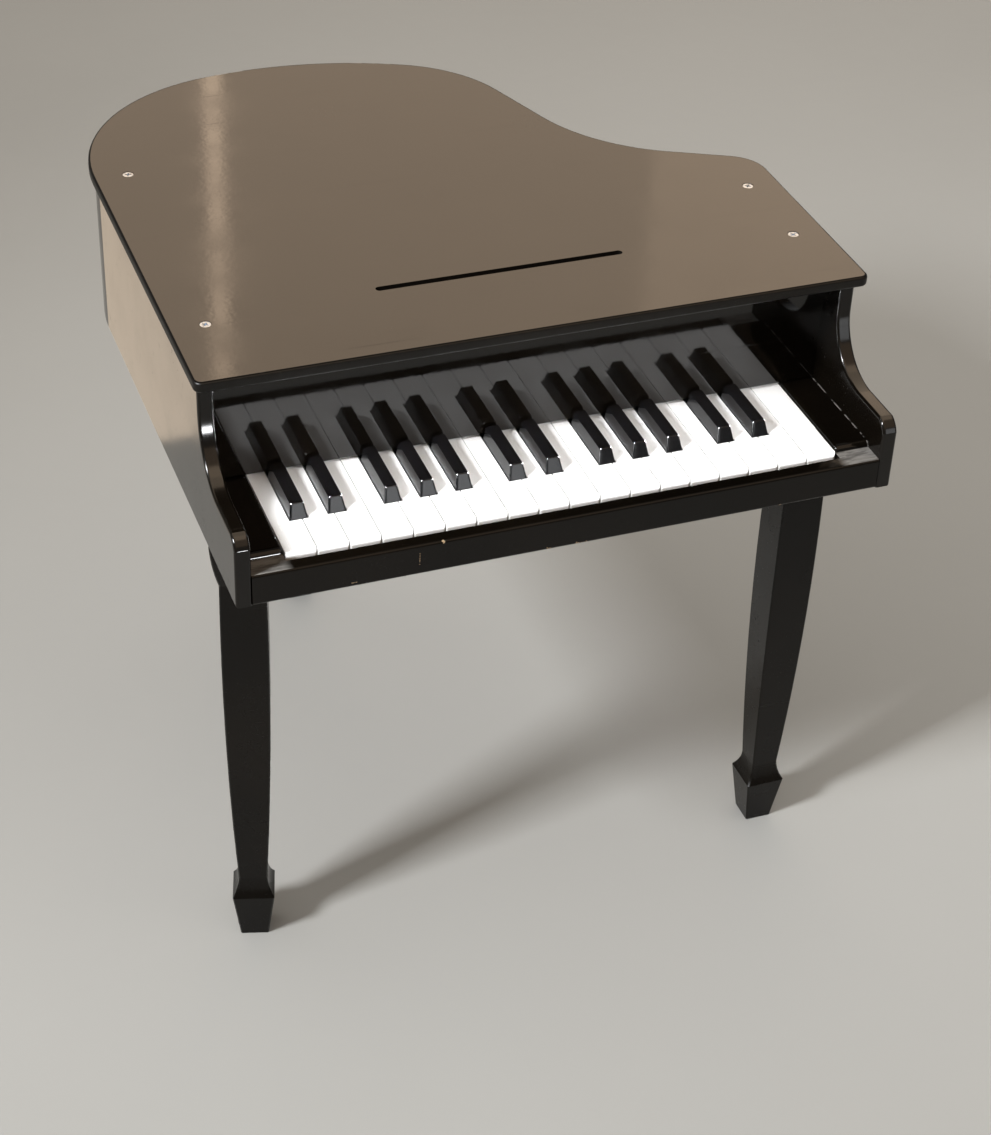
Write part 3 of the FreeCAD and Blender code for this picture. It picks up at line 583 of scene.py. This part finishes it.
@dataclass(frozen=True)
class Felt:
    """Pressed wool felt."""

    name: str
    light: Colour = (0.085, 0.150, 0.075)
    dark: Colour = (0.040, 0.080, 0.036)
    gloss: Range = (0.9, 1.0)
    wool_scale: float = 1600.0
    wool_depth: float = 0.25 * MM
    tuft_scale: float = 240.0
    tufts_show: Range = (0.12, 0.42)
    dull_tufts: Range = (0.3, 0.7)
    sheen: float = 0.4
    sheen_gloss: float = 0.5

    def material(self) -> bpy.types.Material:
        """Build the material.

        Returns:
            The material.
        """
        recipe = Recipe(self.name)
        wool = recipe.noise(self.wool_scale, detail=5.0)
        tufts = recipe.noise(self.tuft_scale, detail=3.0)
        share = recipe.ease(recipe.math("MULTIPLY", wool, tufts), *self.tufts_show)
        recipe.set(Base_Color=recipe.mix(share, self.dark, self.light), Sheen_Weight=self.sheen,
                   Sheen_Roughness=self.sheen_gloss, Normal=recipe.bump(wool, self.wool_depth),
                   Roughness=recipe.ease(tufts, *self.dull_tufts, *self.gloss))
        return recipe.material


@dataclass(frozen=True)
class CastMetal:
    """Rough cast bar."""

    name: str
    bare: Colour = (0.055, 0.053, 0.050)
    rusty: Colour = (0.110, 0.060, 0.035)
    gloss: Range = (0.5, 0.8)
    metallic: float = 0.6
    rust: Mottle = Mottle(60.0, 6.0, 0.5, 0.75)
    skin_scale: float = 700.0
    skin_dulls: Range = (0.3, 0.7)
    skin_depth: float = 0.1 * MM

    def material(self) -> bpy.types.Material:
        """Build the material.

        Returns:
            The material.
        """
        recipe = Recipe(self.name)
        skin = recipe.noise(self.skin_scale, detail=3.0)
        recipe.set(Base_Color=recipe.mix(recipe.mottled(self.rust), self.bare, self.rusty),
                   Metallic=self.metallic, Roughness=recipe.ease(skin, *self.skin_dulls, *self.gloss),
                   Normal=recipe.bump(skin, self.skin_depth))
        return recipe.material


@dataclass(frozen=True)
class PaleFloor:
    """Plain pale studio floor."""

    name: str = "studio_floor"
    light: Colour = (0.36, 0.355, 0.34)
    dark: Colour = (0.345, 0.34, 0.325)
    gloss: Range = (0.85, 0.95)
    shine: float = 0.15
    clouds: Mottle = Mottle(1.5, 5.0, 0.3, 0.7)
    scuffs: Mottle = Mottle(40.0, 4.0, 0.3, 0.7)

    def material(self) -> bpy.types.Material:
        """Build the material.

        Returns:
            The material.
        """
        recipe = Recipe(self.name)
        recipe.set(Base_Color=recipe.mix(recipe.mottled(self.clouds), self.light, self.dark),
                   Specular_IOR_Level=self.shine, Roughness=recipe.mottled(self.scuffs, *self.gloss))
        return recipe.material


def dress(obj: bpy.types.Object, material: bpy.types.Material) -> None:
    """Give an object one material in all its slots.

    Args:
        obj: The object.
        material: Its finish.
    """
    if not obj.material_slots:
        obj.data.materials.append(material)
    for slot in obj.material_slots:
        slot.material = material
    LOG.info("%s wears %s", obj.name, material.name)


def new_object(name: str, mesh: bpy.types.Mesh) -> bpy.types.Object:
    """Put a mesh into the scene as an object at the origin.

    Args:
        name: Name of the object.
        mesh: Its mesh, already in place.
    Returns:
        The object.
    """
    obj = bpy.data.objects.new(name, mesh)
    bpy.context.scene.collection.objects.link(obj)
    return obj


def islands(obj: bpy.types.Object, weld: float = 0.001 * MM) -> list[tuple[Vector, Vector]]:
    """Boxes of a node's separate solids.

    Args:
        obj: A CAD node's object.
        weld: How near two corners are the same one.
    Returns:
        Lowest and highest corner of each solid, in order along X, then Y.
    """
    bm = bmesh.new()
    bm.from_mesh(obj.data)
    bmesh.ops.remove_doubles(bm, verts=bm.verts, dist=weld)
    left = set(bm.verts)
    boxes = []
    while left:
        group = [left.pop()]
        for vert in group:
            for edge in vert.link_edges:
                other = edge.other_vert(vert)
                if other in left:
                    left.remove(other)
                    group.append(other)
        corners = [[pick(vert.co[axis] for vert in group) for axis in range(3)] for pick in (min, max)]
        boxes.append((Vector(corners[0]), Vector(corners[1])))
    bm.free()
    return sorted(boxes, key=lambda box: (round(box[0].x, 4), round(box[0].y, 4)))


class ScrewTree:
    """Geometry Nodes that turn points into countersunk cross-head screws."""

    NAME = "cross_head_screws"
    SIZES = ("Head Radius", "Shank Radius", "Length", "Recess Length", "Recess Width", "Recess Depth",
             "Rim", "Thread Pitch", "Thread Depth", "Turned Over")
    RINGS = 72
    SIDES = 28
    TIP_SLOPE = 0.55
    TIP_RADIUS = 0.2 * MM

    def __init__(self) -> None:
        """Build the tree."""
        self.tree = bpy.data.node_groups.new(self.NAME, "GeometryNodeTree")
        self.sockets: dict[str, str] = {}
        face = self.tree.interface
        face.new_socket("Points", in_out="INPUT", socket_type="NodeSocketGeometry")
        kinds = {name: "NodeSocketFloat" for name in self.SIZES}
        kinds |= {"Seed": "NodeSocketInt", "Metal": "NodeSocketMaterial"}
        for name, kind in kinds.items():
            self.sockets[name] = face.new_socket(name, in_out="INPUT", socket_type=kind).identifier
        face.new_socket("Screws", in_out="OUTPUT", socket_type="NodeSocketGeometry")
        self.given = self.tree.nodes.new("NodeGroupInput").outputs
        self.wire()

    def add(self, kind: str, *inputs: tuple[object, object], **settings: object) -> bpy.types.Node:
        """Add a node.

        Args:
            kind: Blender's name of the node type.
            inputs: Pairs of an input's name or number and its socket or value.
            settings: Properties to set on the node.
        Returns:
            The new node.
        """
        node = self.tree.nodes.new(kind)
        for name, value in settings.items():
            setattr(node, name, value)
        for key, value in inputs:
            if isinstance(value, bpy.types.NodeSocket):
                self.tree.links.new(value, node.inputs[key])
            else:
                node.inputs[key].default_value = value
        return node

    def math(self, operation: str, first: object, second: object = 0.0) -> bpy.types.NodeSocket:
        """One sum on two values."""
        return self.add("ShaderNodeMath", (0, first), (1, second), operation=operation).outputs[0]

    def radius(self) -> bpy.types.NodeSocket:
        """Radius of the screw along its depth below the head's face.

        Returns:
            The radius: the head's rim and cone, then the threaded shank, then the tip.
        """
        given = self.given
        depth = self.add("GeometryNodeSplineParameter").outputs["Length"]
        rim = self.math("ADD", self.math("SUBTRACT", given["Head Radius"], given["Rim"]), depth)
        cone = self.math("SUBTRACT", given["Head Radius"], self.math("SUBTRACT", depth, given["Rim"]))
        head = self.math("MINIMUM", rim, cone)
        turn = self.math("MULTIPLY", self.math("DIVIDE", depth, given["Thread Pitch"]), math.tau)
        wave = self.math("MULTIPLY", self.math("SUBTRACT", self.math("SINE", turn), 1.0), 0.5)
        shank = self.math("ADD", given["Shank Radius"], self.math("MULTIPLY", wave, given["Thread Depth"]))
        left = self.math("SUBTRACT", given["Length"], depth)
        tip = self.math("ADD", self.math("MULTIPLY", left, self.TIP_SLOPE), self.TIP_RADIUS)
        return self.math("MAXIMUM", head, self.math("MINIMUM", shank, tip))

    def body(self) -> bpy.types.NodeSocket:
        """Head and threaded shank, pointing down from the origin.

        Returns:
            The mesh, before its recess is cut.
        """
        depth = self.math("MULTIPLY", self.given["Length"], -1.0)
        end = self.add("ShaderNodeCombineXYZ", ("Z", depth)).outputs[0]
        axis = self.add("GeometryNodeCurvePrimitiveLine", ("Start", (0.0, 0.0, 0.0)), ("End", end))
        rings = self.add("GeometryNodeResampleCurve", ("Curve", axis.outputs[0]), ("Count", self.RINGS))
        shaped = self.add("GeometryNodeSetCurveRadius", ("Curve", rings.outputs[0]),
                          ("Radius", self.radius()))
        circle = self.add("GeometryNodeCurvePrimitiveCircle", ("Resolution", self.SIDES), ("Radius", 1.0))
        swell = self.add("GeometryNodeInputRadius").outputs[0]
        skin = self.add("GeometryNodeCurveToMesh", ("Curve", shaped.outputs[0]), ("Scale", swell),
                        ("Profile Curve", circle.outputs[0]), ("Fill Caps", True))
        return skin.outputs[0]

    def wire(self) -> None:
        """Cut the recess, put a screw on each point and finish the tree."""
        given = self.given
        deep = self.math("MULTIPLY", given["Recess Depth"], 2.0)
        screw = self.body()
        for across, along in (("Recess Length", "Recess Width"), ("Recess Width", "Recess Length")):
            size = self.add("ShaderNodeCombineXYZ", ("X", given[across]), ("Y", given[along]), ("Z", deep))
            cutter = self.add("GeometryNodeMeshCube", ("Size", size.outputs[0])).outputs[0]
            cut = self.add("GeometryNodeMeshBoolean", (0, screw), ("Mesh 2", cutter), operation="DIFFERENCE")
            screw = cut.outputs[0]
        turn = self.add("FunctionNodeRandomValue", (2, 0.0), (3, math.tau), ("Seed", given["Seed"]),
                        data_type="FLOAT")
        facing = self.add("ShaderNodeCombineXYZ", ("X", given["Turned Over"]), ("Z", turn.outputs[1]))
        placed = self.add("GeometryNodeInstanceOnPoints", ("Points", given["Points"]), ("Instance", screw),
                          ("Rotation", facing.outputs[0]))
        real = self.add("GeometryNodeRealizeInstances", ("Geometry", placed.outputs[0]))
        metal = self.add("GeometryNodeSetMaterial", ("Geometry", real.outputs[0]),
                         ("Material", given["Metal"]))
        self.add("NodeGroupOutput", (0, metal.outputs[0]))


@dataclass
class Screws:
    """One group of identical wood screws."""

    node: str
    length: float
    facing: Facing
    seed: int
    head: float = 8.0 * MM
    shank: float = 3.6 * MM
    recess_length: float = 4.6 * MM
    recess_width: float = 1.1 * MM
    recess_depth: float = 1.5 * MM
    rim: float = 0.25 * MM
    pitch: float = 1.6 * MM
    thread: float = 0.5 * MM

    def places(self, nodes: dict[str, bpy.types.Object]) -> list[Point]:
        """Middle of each head's face, read from the CAD screws.

        Args:
            nodes: The frame's nodes.
        Returns:
            One point for each screw.
        """
        found = []
        for low, high in islands(nodes[self.node]):
            z = high.z if self.facing is Facing.UP else low.z
            found.append(((low.x + high.x) / 2, (low.y + high.y) / 2, z))
        return found

    def build(self, nodes: dict[str, bpy.types.Object], tree: ScrewTree, metal: bpy.types.Material) -> None:
        """Make the screws and let them stand for the CAD group.

        Args:
            nodes: The frame's nodes.
            tree: The screws' Geometry Nodes.
            metal: Their finish.
        """
        points = bpy.data.meshes.new(f"{self.node}_points")
        points.from_pydata(self.places(nodes), [], [])
        maker = new_object(f"{self.node}_maker", points)
        modifier = maker.modifiers.new("screws", "NODES")
        modifier.node_group = tree.tree
        sizes = {
            "Head Radius": self.head / 2, "Shank Radius": self.shank / 2, "Length": self.length,
            "Recess Length": self.recess_length, "Recess Width": self.recess_width,
            "Recess Depth": self.recess_depth, "Rim": self.rim, "Thread Pitch": self.pitch,
            "Thread Depth": self.thread, "Turned Over": self.facing.value,
            "Seed": self.seed, "Metal": metal,
        }
        for name, value in sizes.items():
            modifier[tree.sockets[name]] = value
        graph = bpy.context.evaluated_depsgraph_get()
        mesh = bpy.data.meshes.new_from_object(maker.evaluated_get(graph))
        mesh.name = f"{self.node}_turned"
        maker.modifiers.remove(modifier)
        bpy.data.objects.remove(maker)
        piece = new_object(f"{self.node}_turned", mesh)
        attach(piece, CASE_BODY)
        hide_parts(self.node)
        LOG.info("%s: %d faces", piece.name, len(mesh.polygons))


@dataclass
class FeltStrip:
    """A strip of felt that keys come down on."""

    node: str
    rests_on: str
    step: float = 2.5 * MM
    fuzz: float = 0.12 * MM
    seed: int = 5

    def build(self, felt: bpy.types.Material) -> None:
        """Make the strip with a soft, uneven face in the CAD strip's place.

        Args:
            felt: Its finish.
        """
        low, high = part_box(self.node)
        size = high - low
        bm = bmesh.new()
        bmesh.ops.create_cube(bm, size=1.0)
        bmesh.ops.scale(bm, vec=size, verts=bm.verts)
        bmesh.ops.translate(bm, vec=(low + high) / 2, verts=bm.verts)
        for axis in (0, 1):
            for index in range(1, round(size[axis] / self.step)):
                cut = low.copy()
                cut[axis] += index * self.step
                normal = Vector((axis == 0, axis == 1, 0))
                parts = bm.verts[:] + bm.edges[:] + bm.faces[:]
                bmesh.ops.bisect_plane(bm, geom=parts, plane_co=cut, plane_no=normal)
        draw = random.Random(self.seed)
        for vert in bm.verts:
            if vert.co.z > low.z + size.z / 2:
                vert.co.z -= draw.uniform(0.0, self.fuzz)
        mesh = bpy.data.meshes.new(f"{self.node}_wool")
        bm.to_mesh(mesh)
        bm.free()
        piece = new_object(f"{self.node}_wool", mesh)
        dress(piece, felt)
        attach(piece, CASE_BODY)
        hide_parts(self.node)


@dataclass
class Case:
    """Lid, walls, front and bottom, all lacquered but the bottom board and the inner blocks."""

    nodes: dict[str, bpy.types.Object]
    walls: tuple[str, ...] = ("left_side", "right_side", "bent_rim")
    key_blocks: tuple[str, ...] = ("left_key_block", "right_key_block")
    timber: tuple[str, ...] = ("lid_cleats", "fallboard_cleats", "rear_leg_block")
    nick_inset: float = 0.5 * MM

    def rail_nicks(self) -> tuple[Nick, ...]:
        """Knocks along the front rail's edges and on its face.

        Returns:
            The nicks.
        """
        low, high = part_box("front_rail")
        inset = self.nick_inset
        bottom, top, front = low.z + inset, high.z - inset, low.y + inset
        return (
            Nick((-0.020, front, bottom), (2.6 * MM, 2.0 * MM, 2.2 * MM)),
            Nick((0.001, front, bottom), (3.4 * MM, 2.0 * MM, 2.0 * MM)),
            Nick((0.007, front, bottom), (1.8 * MM, 1.6 * MM, 1.6 * MM)),
            Nick((0.150, front, bottom), (1.6 * MM, 1.4 * MM, 1.6 * MM)),
            Nick((-0.095, front, top), (1.6 * MM, 1.4 * MM, 1.4 * MM)),
            Nick((-0.111, low.y, bottom + 12.0 * MM), (0.35 * MM, 1.0 * MM, 7.0 * MM)),
            Nick((-0.156, low.y, bottom + 3.0 * MM), (3.0 * MM, 1.0 * MM, 0.4 * MM)),
        )

    def finishes(self) -> tuple[tuple[tuple[str, ...], Lacquer | Board], ...]:
        """Finishes of the case's nodes, with the marks that lie at other nodes' edges.

        Returns:
            Pairs of nodes and their finish.
        """
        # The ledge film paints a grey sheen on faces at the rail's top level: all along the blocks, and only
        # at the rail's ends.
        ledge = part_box("front_rail")[1].z
        keys_end = abs(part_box("left_key_block")[1].x)
        joint = JointLine(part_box("right_key_block")[1].x)
        return (
            (self.walls, Lacquer("case_lacquer", gloss=(0.13, 0.19))),
            (self.key_blocks, Lacquer("block_lacquer", marks=(LedgeFilmAndPaintedSheen(ledge), joint))),
            (("fallboard",), Lacquer("fallboard_lacquer", ior=1.45, coat=0.2)),
            (("lid",), Lacquer("lid_lacquer", gloss=(0.05, 0.11), specks=Mottle(900.0, 1.0, 0.67, 0.73),
                               edge=DullEdge(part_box("lid")[1].z))),
            (("front_rail",), Lacquer("rail_lacquer", ior=1.33, marks=(LedgeFilmAndPaintedSheen(ledge, keys_end),),
                                      bare=BareWood(self.rail_nicks()))),
            (("bottom_board",), Board("bottom_fibreboard", light=(0.20, 0.125, 0.070),
                                      dark=(0.120, 0.072, 0.040), grain=(260.0, 260.0, 260.0))),
            (self.timber, Board("block_wood", light=(0.52, 0.37, 0.22), dark=(0.34, 0.22, 0.12),
                                grain=(60.0, 60.0, 9.0))),
        )

    def build(self) -> None:
        """Dress the case."""
        for names, finish in self.finishes():
            material = finish.material()
            for name in names:
                dress(self.nodes[name], material)


@dataclass
class Legs:
    """Three lacquered legs and their bolts."""

    nodes: dict[str, bpy.types.Object]
    names: tuple[str, ...] = ("left_leg", "right_leg", "rear_leg")

    def build(self) -> None:
        """Dress the legs."""
        lacquer = Lacquer("leg_lacquer", gloss=(0.18, 0.30), ior=1.3).material()
        for name in self.names:
            dress(self.nodes[name], lacquer)
        dress(self.nodes["leg_bolts"], Steel("bolt_steel").material())


@dataclass
class Keyboard:
    """White and black keys with the rails, rod and felts that they work on."""

    nodes: dict[str, bpy.types.Object]
    white: KeyPlastic = KeyPlastic("white_key", clean=(0.83, 0.825, 0.815), handled=(0.80, 0.785, 0.755),
                                   gloss=(0.17, 0.24), coat=0.2, ior=1.5)
    black: KeyPlastic = KeyPlastic("black_key", clean=(0.006, 0.006, 0.007), handled=(0.010, 0.010, 0.011),
                                   gloss=(0.07, 0.11), coat=0.0, ior=1.42)
    rails: tuple[str, ...] = ("pivot_rail", "back_rail")
    felts: tuple[FeltStrip, ...] = field(default_factory=lambda: (
        FeltStrip("front_felt", "bottom_board"), FeltStrip("back_felt", "back_rail")))

    def build(self) -> None:
        """Dress the keys and lay the felts."""
        white, black = self.white.material(), self.black.material()
        for name, node in self.nodes.items():
            if name.startswith("key_"):
                dress(node, black if name.endswith("sharp") else white)
        wood = Board("rail_wood", light=(0.50, 0.34, 0.19), dark=(0.33, 0.21, 0.11), grain=(7.0, 80.0, 80.0))
        bare = wood.material()
        for name in self.rails:
            dress(self.nodes[name], bare)
        dress(self.nodes["pivot_rod"], Steel("rod_steel").material())
        felt = Felt("key_felt").material()
        for strip in self.felts:
            strip.build(felt)


@dataclass
class Chimes:
    """Sounding rods, the bar that holds them and its posts."""

    nodes: dict[str, bpy.types.Object]

    def build(self) -> None:
        """Dress the chimes."""
        steel = Steel("chime_steel", bright=(0.72, 0.71, 0.69), stained=(0.5, 0.48, 0.45))
        dress(self.nodes["chime_rods"], steel.material())
        dress(self.nodes["chime_block"], CastMetal("chime_casting").material())
        wood = Board("post_wood", light=(0.50, 0.35, 0.20), dark=(0.32, 0.20, 0.11), grain=(60.0, 60.0, 9.0))
        dress(self.nodes["chime_posts"], wood.material())


@dataclass(frozen=True)
class Panel:
    """A light panel that looks at a point; a glint shows only in the gloss of what it falls on."""

    name: str
    place: Point
    target: Point
    size: tuple[float, float]
    watts: float
    colour: Colour
    spread_deg: float = 180.0
    falls_on: tuple[bpy.types.Object, ...] = ()
    glint: bool = False

    def build(self) -> bpy.types.Light:
        """Hang the panel.

        Returns:
            Its light.
        """
        light = bpy.data.lights.new(self.name, "AREA")
        light.shape = "RECTANGLE"
        light.size, light.size_y = self.size
        light.energy, light.color = self.watts, self.colour
        light.spread = math.radians(self.spread_deg)
        lamp = bpy.data.objects.new(self.name, light)
        bpy.context.scene.collection.objects.link(lamp)
        lamp.location = self.place
        lamp.rotation_euler = (Vector(self.target) - Vector(self.place)).to_track_quat("-Z", "Y").to_euler()
        lamp.visible_camera = False
        lamp.visible_diffuse = not self.glint
        if self.falls_on:
            lit = bpy.data.collections.new(f"{self.name}_falls_on")
            for obj in self.falls_on:
                lit.objects.link(obj)
            lamp.light_linking.receiver_collection = lit
        return light


@dataclass(frozen=True)
class Stripe:
    """A brighter upright stripe of the scrim, from and to a share of its width."""

    start: float
    end: float
    gain: float


@dataclass(frozen=True)
class Scrim:
    """Upright cloth behind the piano, lit more towards its top and on a narrow and a broad stripe."""

    panel: Panel
    foot_share: float = 0.75
    stripes: tuple[Stripe, ...] = (Stripe(0.717, 0.731, 1.1), Stripe(-0.1, 0.342, 0.22))
    edge: float = 0.004

    def build(self) -> None:
        """Hang the scrim and give its light a pattern."""
        light = self.panel.build()
        light.use_nodes = True
        tree = light.node_tree
        place = tree.nodes.new("ShaderNodeNewGeometry").outputs["Parametric"]
        apart = tree.nodes.new("ShaderNodeSeparateXYZ")
        tree.links.new(place, apart.inputs[0])
        across, up = apart.outputs["X"], apart.outputs["Y"]
        total = self.ease(tree, up, 0.0, 1.0, self.foot_share, 1.0)
        for stripe in self.stripes:
            for at, gain in ((stripe.start, stripe.gain), (stripe.end, -stripe.gain)):
                node = tree.nodes.new("ShaderNodeMath")
                tree.links.new(total, node.inputs[0])
                step = self.ease(tree, across, at - self.edge, at + self.edge, 0.0, gain)
                tree.links.new(step, node.inputs[1])
                total = node.outputs[0]
        tree.links.new(total, tree.nodes["Emission"].inputs["Strength"])

    def ease(self, tree: bpy.types.NodeTree, source: bpy.types.NodeSocket, low: float, high: float,
             start: float, end: float) -> bpy.types.NodeSocket:
        """Ease a value of the light from one range to another.

        Args:
            tree: The light's nodes.
            source: The value.
            low: Where the change begins.
            high: Where it ends.
            start: Result at low.
            end: Result at high.
        Returns:
            The eased value.
        """
        node = tree.nodes.new("ShaderNodeMapRange")
        node.interpolation_type = "SMOOTHSTEP"
        tree.links.new(source, node.inputs["Value"])
        for name, value in (("From Min", low), ("From Max", high), ("To Min", start), ("To Max", end)):
            node.inputs[name].default_value = value
        return node.outputs["Result"]


@dataclass(frozen=True)
class PhotoCamera:
    """Camera at the photograph's place, as solved from the keyboard's edges."""

    place: Point = (-0.5316, -1.4517, 1.3153)
    yaw_deg: float = 21.585
    pitch_deg: float = -36.497
    roll_deg: float = 2.441
    focal_px: float = 2413.49
    frame_px: tuple[int, int] = (991, 1135)
    sensor_mm: float = 36.0

    def matrix(self) -> Matrix:
        """Place and heading of the camera.

        Returns:
            Its world matrix.
        """
        yaw, pitch, roll = (math.radians(a) for a in (self.yaw_deg, self.pitch_deg, self.roll_deg))
        ahead = Vector((math.sin(yaw) * math.cos(pitch), math.cos(yaw) * math.cos(pitch), math.sin(pitch)))
        level = Vector((math.cos(yaw), -math.sin(yaw), 0.0))
        above = level.cross(ahead)
        right = level * math.cos(roll) + above * math.sin(roll)
        up = above * math.cos(roll) - level * math.sin(roll)
        turned = Matrix((right, up, -ahead)).transposed().to_4x4()
        return Matrix.Translation(self.place) @ turned

    def build(self) -> None:
        """Set up the scene's camera."""
        data = bpy.data.cameras.new("photo_camera")
        data.sensor_fit = "AUTO"
        data.sensor_width = self.sensor_mm
        data.lens = self.focal_px / max(self.frame_px) * self.sensor_mm
        camera = bpy.data.objects.new("photo_camera", data)
        bpy.context.scene.collection.objects.link(camera)
        camera.matrix_world = self.matrix()
        bpy.context.scene.camera = camera


@dataclass
class Studio:
    """Pale floor, soft light and camera."""

    nodes: dict[str, bpy.types.Object]
    floor_half: float = 6.0
    world: Colour = (0.80, 0.77, 0.72)
    world_strength: float = 0.20
    keyboard: Point = (0.0, -0.2, 0.41)
    bass_nose: Point = (-0.23, -0.25, 0.41)
    pool_height: float = 0.03
    cool: Colour = (0.96, 0.98, 1.0)
    warm: Colour = (1.0, 0.70, 0.46)
    tan: Colour = (1.0, 0.78, 0.56)
    pale: Colour = (1.0, 0.96, 0.90)
    scrim: Scrim = Scrim(Panel("rear_scrim", place=(1.0, 2.6, 1.95), target=(1.0, 0.0, 1.95),
                               size=(2.4, 1.2), watts=20.2, colour=(1.0, 0.75, 0.53)))

    def lights(self, floor: bpy.types.Object) -> tuple[Panel, ...]:
        """Panels that light the piano and the floor.

        Args:
            floor: The studio's floor.
        Returns:
            The panels.
        """
        piano = tuple(obj for obj in bpy.context.scene.objects if obj.type == "MESH" and obj is not floor)
        keys = (name for name in self.nodes if name.startswith("key_"))
        whites = tuple(self.nodes[name] for name in keys if not name.endswith("sharp"))
        aim = self.keyboard
        return (
            Panel("key_light", (-1.9, -0.75, 1.85), aim, (0.4, 0.4), 10.0, self.cool, spread_deg=56.0),
            Panel("top_light", (0.6, -1.7, 2.6), aim, (3.5, 2.6), 20.0, self.warm, falls_on=piano),
            Panel("low_light", (0.55, -1.75, 0.75), aim, (1.2, 0.7), 19.0, self.cool, spread_deg=90.0,
                  falls_on=whites),
            Panel("floor_light", (0.0, 0.0, 5.0), (0.0, 0.0, 0.0), (10.0, 10.0), 380.0, self.pale,
                  falls_on=(floor,)),
        )

    def glints(self) -> tuple[Panel, ...]:
        """Lamps for the bright points and bars on the cheeks and the black keys.

        Returns:
            The panels.
        """
        black = tuple(node for name, node in self.nodes.items() if name.endswith("sharp"))
        left, right = self.nodes["left_side"], self.nodes["right_side"]
        bass = (left, self.nodes["left_key_block"])
        aim, cool = self.keyboard, self.cool
        lamps = (
            ("nose_glint", (0.07, -1.7, 0.31), self.bass_nose, (0.14, 0.3), 12.0, cool, 180.0, bass),
            ("left_glint", (-1.75, -0.75, 2.0), aim, (1.0, 1.0), 320.0, cool, 45.0, black),
            ("right_glint", (2.0, -0.1, 1.1), aim, (1.0, 1.0), 480.0, cool, 45.0, black),
            ("front_glint", (0.25, -1.75, 0.6), aim, (0.6, 1.1), 1.8, cool, 90.0, black),
            ("cove_glint", (0.98, -1.7, 0.55), aim, (0.5, 1.2), 4.0, cool, 180.0, (right,)),
            ("ceiling", (0.5, 0.5, 3.0), aim, (3.4, 4.4), 90.0, self.tan, 180.0, (left, right)),
        )
        return tuple(Panel(*lamp, glint=True) for lamp in lamps)

    def pools(self) -> tuple[Panel, ...]:
        """Bright stretches of floor that only the case's walls mirror.

        Returns:
            The panels, which look up.
        """
        left, right, rim = (self.nodes[name] for name in ("left_side", "right_side", "bent_rim"))
        spots = (
            ("rear_pool", (-0.45, 1.25), (1.1, 1.6), 4.9, self.tan, (left,)),
            ("left_pool", (-1.7, 0.3), (1.6, 1.4), 6.0, self.pale, (left, rim)),
            ("right_pool", (1.8, 0.3), (1.6, 1.4), 6.0, self.pale, (right, rim)),
            ("back_pool", (0.0, 2.0), (1.8, 1.8), 8.0, self.pale, (rim,)),
        )
        return tuple(
            Panel(name, (x, y, self.pool_height), (x, y, 1.0), size, watts, colour, falls_on=on, glint=True)
            for name, (x, y), size, watts, colour, on in spots)

    def build(self) -> None:
        """Lay the floor, hang the lights and set the camera."""
        mesh = bpy.data.meshes.new("studio_floor")
        half = self.floor_half
        corners = [(-half, -half, 0.0), (half, -half, 0.0), (half, half, 0.0), (-half, half, 0.0)]
        mesh.from_pydata(corners, [], [(0, 1, 2, 3)])
        floor = new_object("studio_floor", mesh)
        dress(floor, PaleFloor().material())
        world = bpy.data.worlds.new("studio_air")
        world.use_nodes = True
        air = world.node_tree.nodes["Background"]
        air.inputs["Color"].default_value = (*self.world, 1.0)
        air.inputs["Strength"].default_value = self.world_strength
        bpy.context.scene.world = world
        bpy.context.scene.view_settings.view_transform = "Standard"
        for panel in self.lights(floor) + self.glints() + self.pools():
            panel.build()
        self.scrim.build()
        PhotoCamera().build()


def main() -> None:
    """Load the frame, dress its pieces, add the screws and set up the studio."""
    logging.basicConfig(level=logging.INFO, format="%(name)s: %(message)s")
    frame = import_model()
    nodes = frame["nodes"]
    for part in (Case, Legs, Keyboard, Chimes):
        part(nodes).build()
    tree = ScrewTree()
    plated = Steel("screw_steel", bright=(0.60, 0.66, 0.74), stained=(0.33, 0.34, 0.36)).material()
    groups = (
        Screws("lid_screws", length=20.0 * MM, facing=Facing.UP, seed=3),
        Screws("chime_screws", length=32.0 * MM, facing=Facing.UP, seed=4),
        Screws("bottom_screws", length=20.0 * MM, facing=Facing.DOWN, seed=5),
        Screws("rail_screws", length=11.0 * MM, facing=Facing.DOWN, seed=6),
    )
    for group in groups:
        group.build(nodes, tree, plated)
    Studio(nodes).build()


if __name__ == "__main__":
    main()
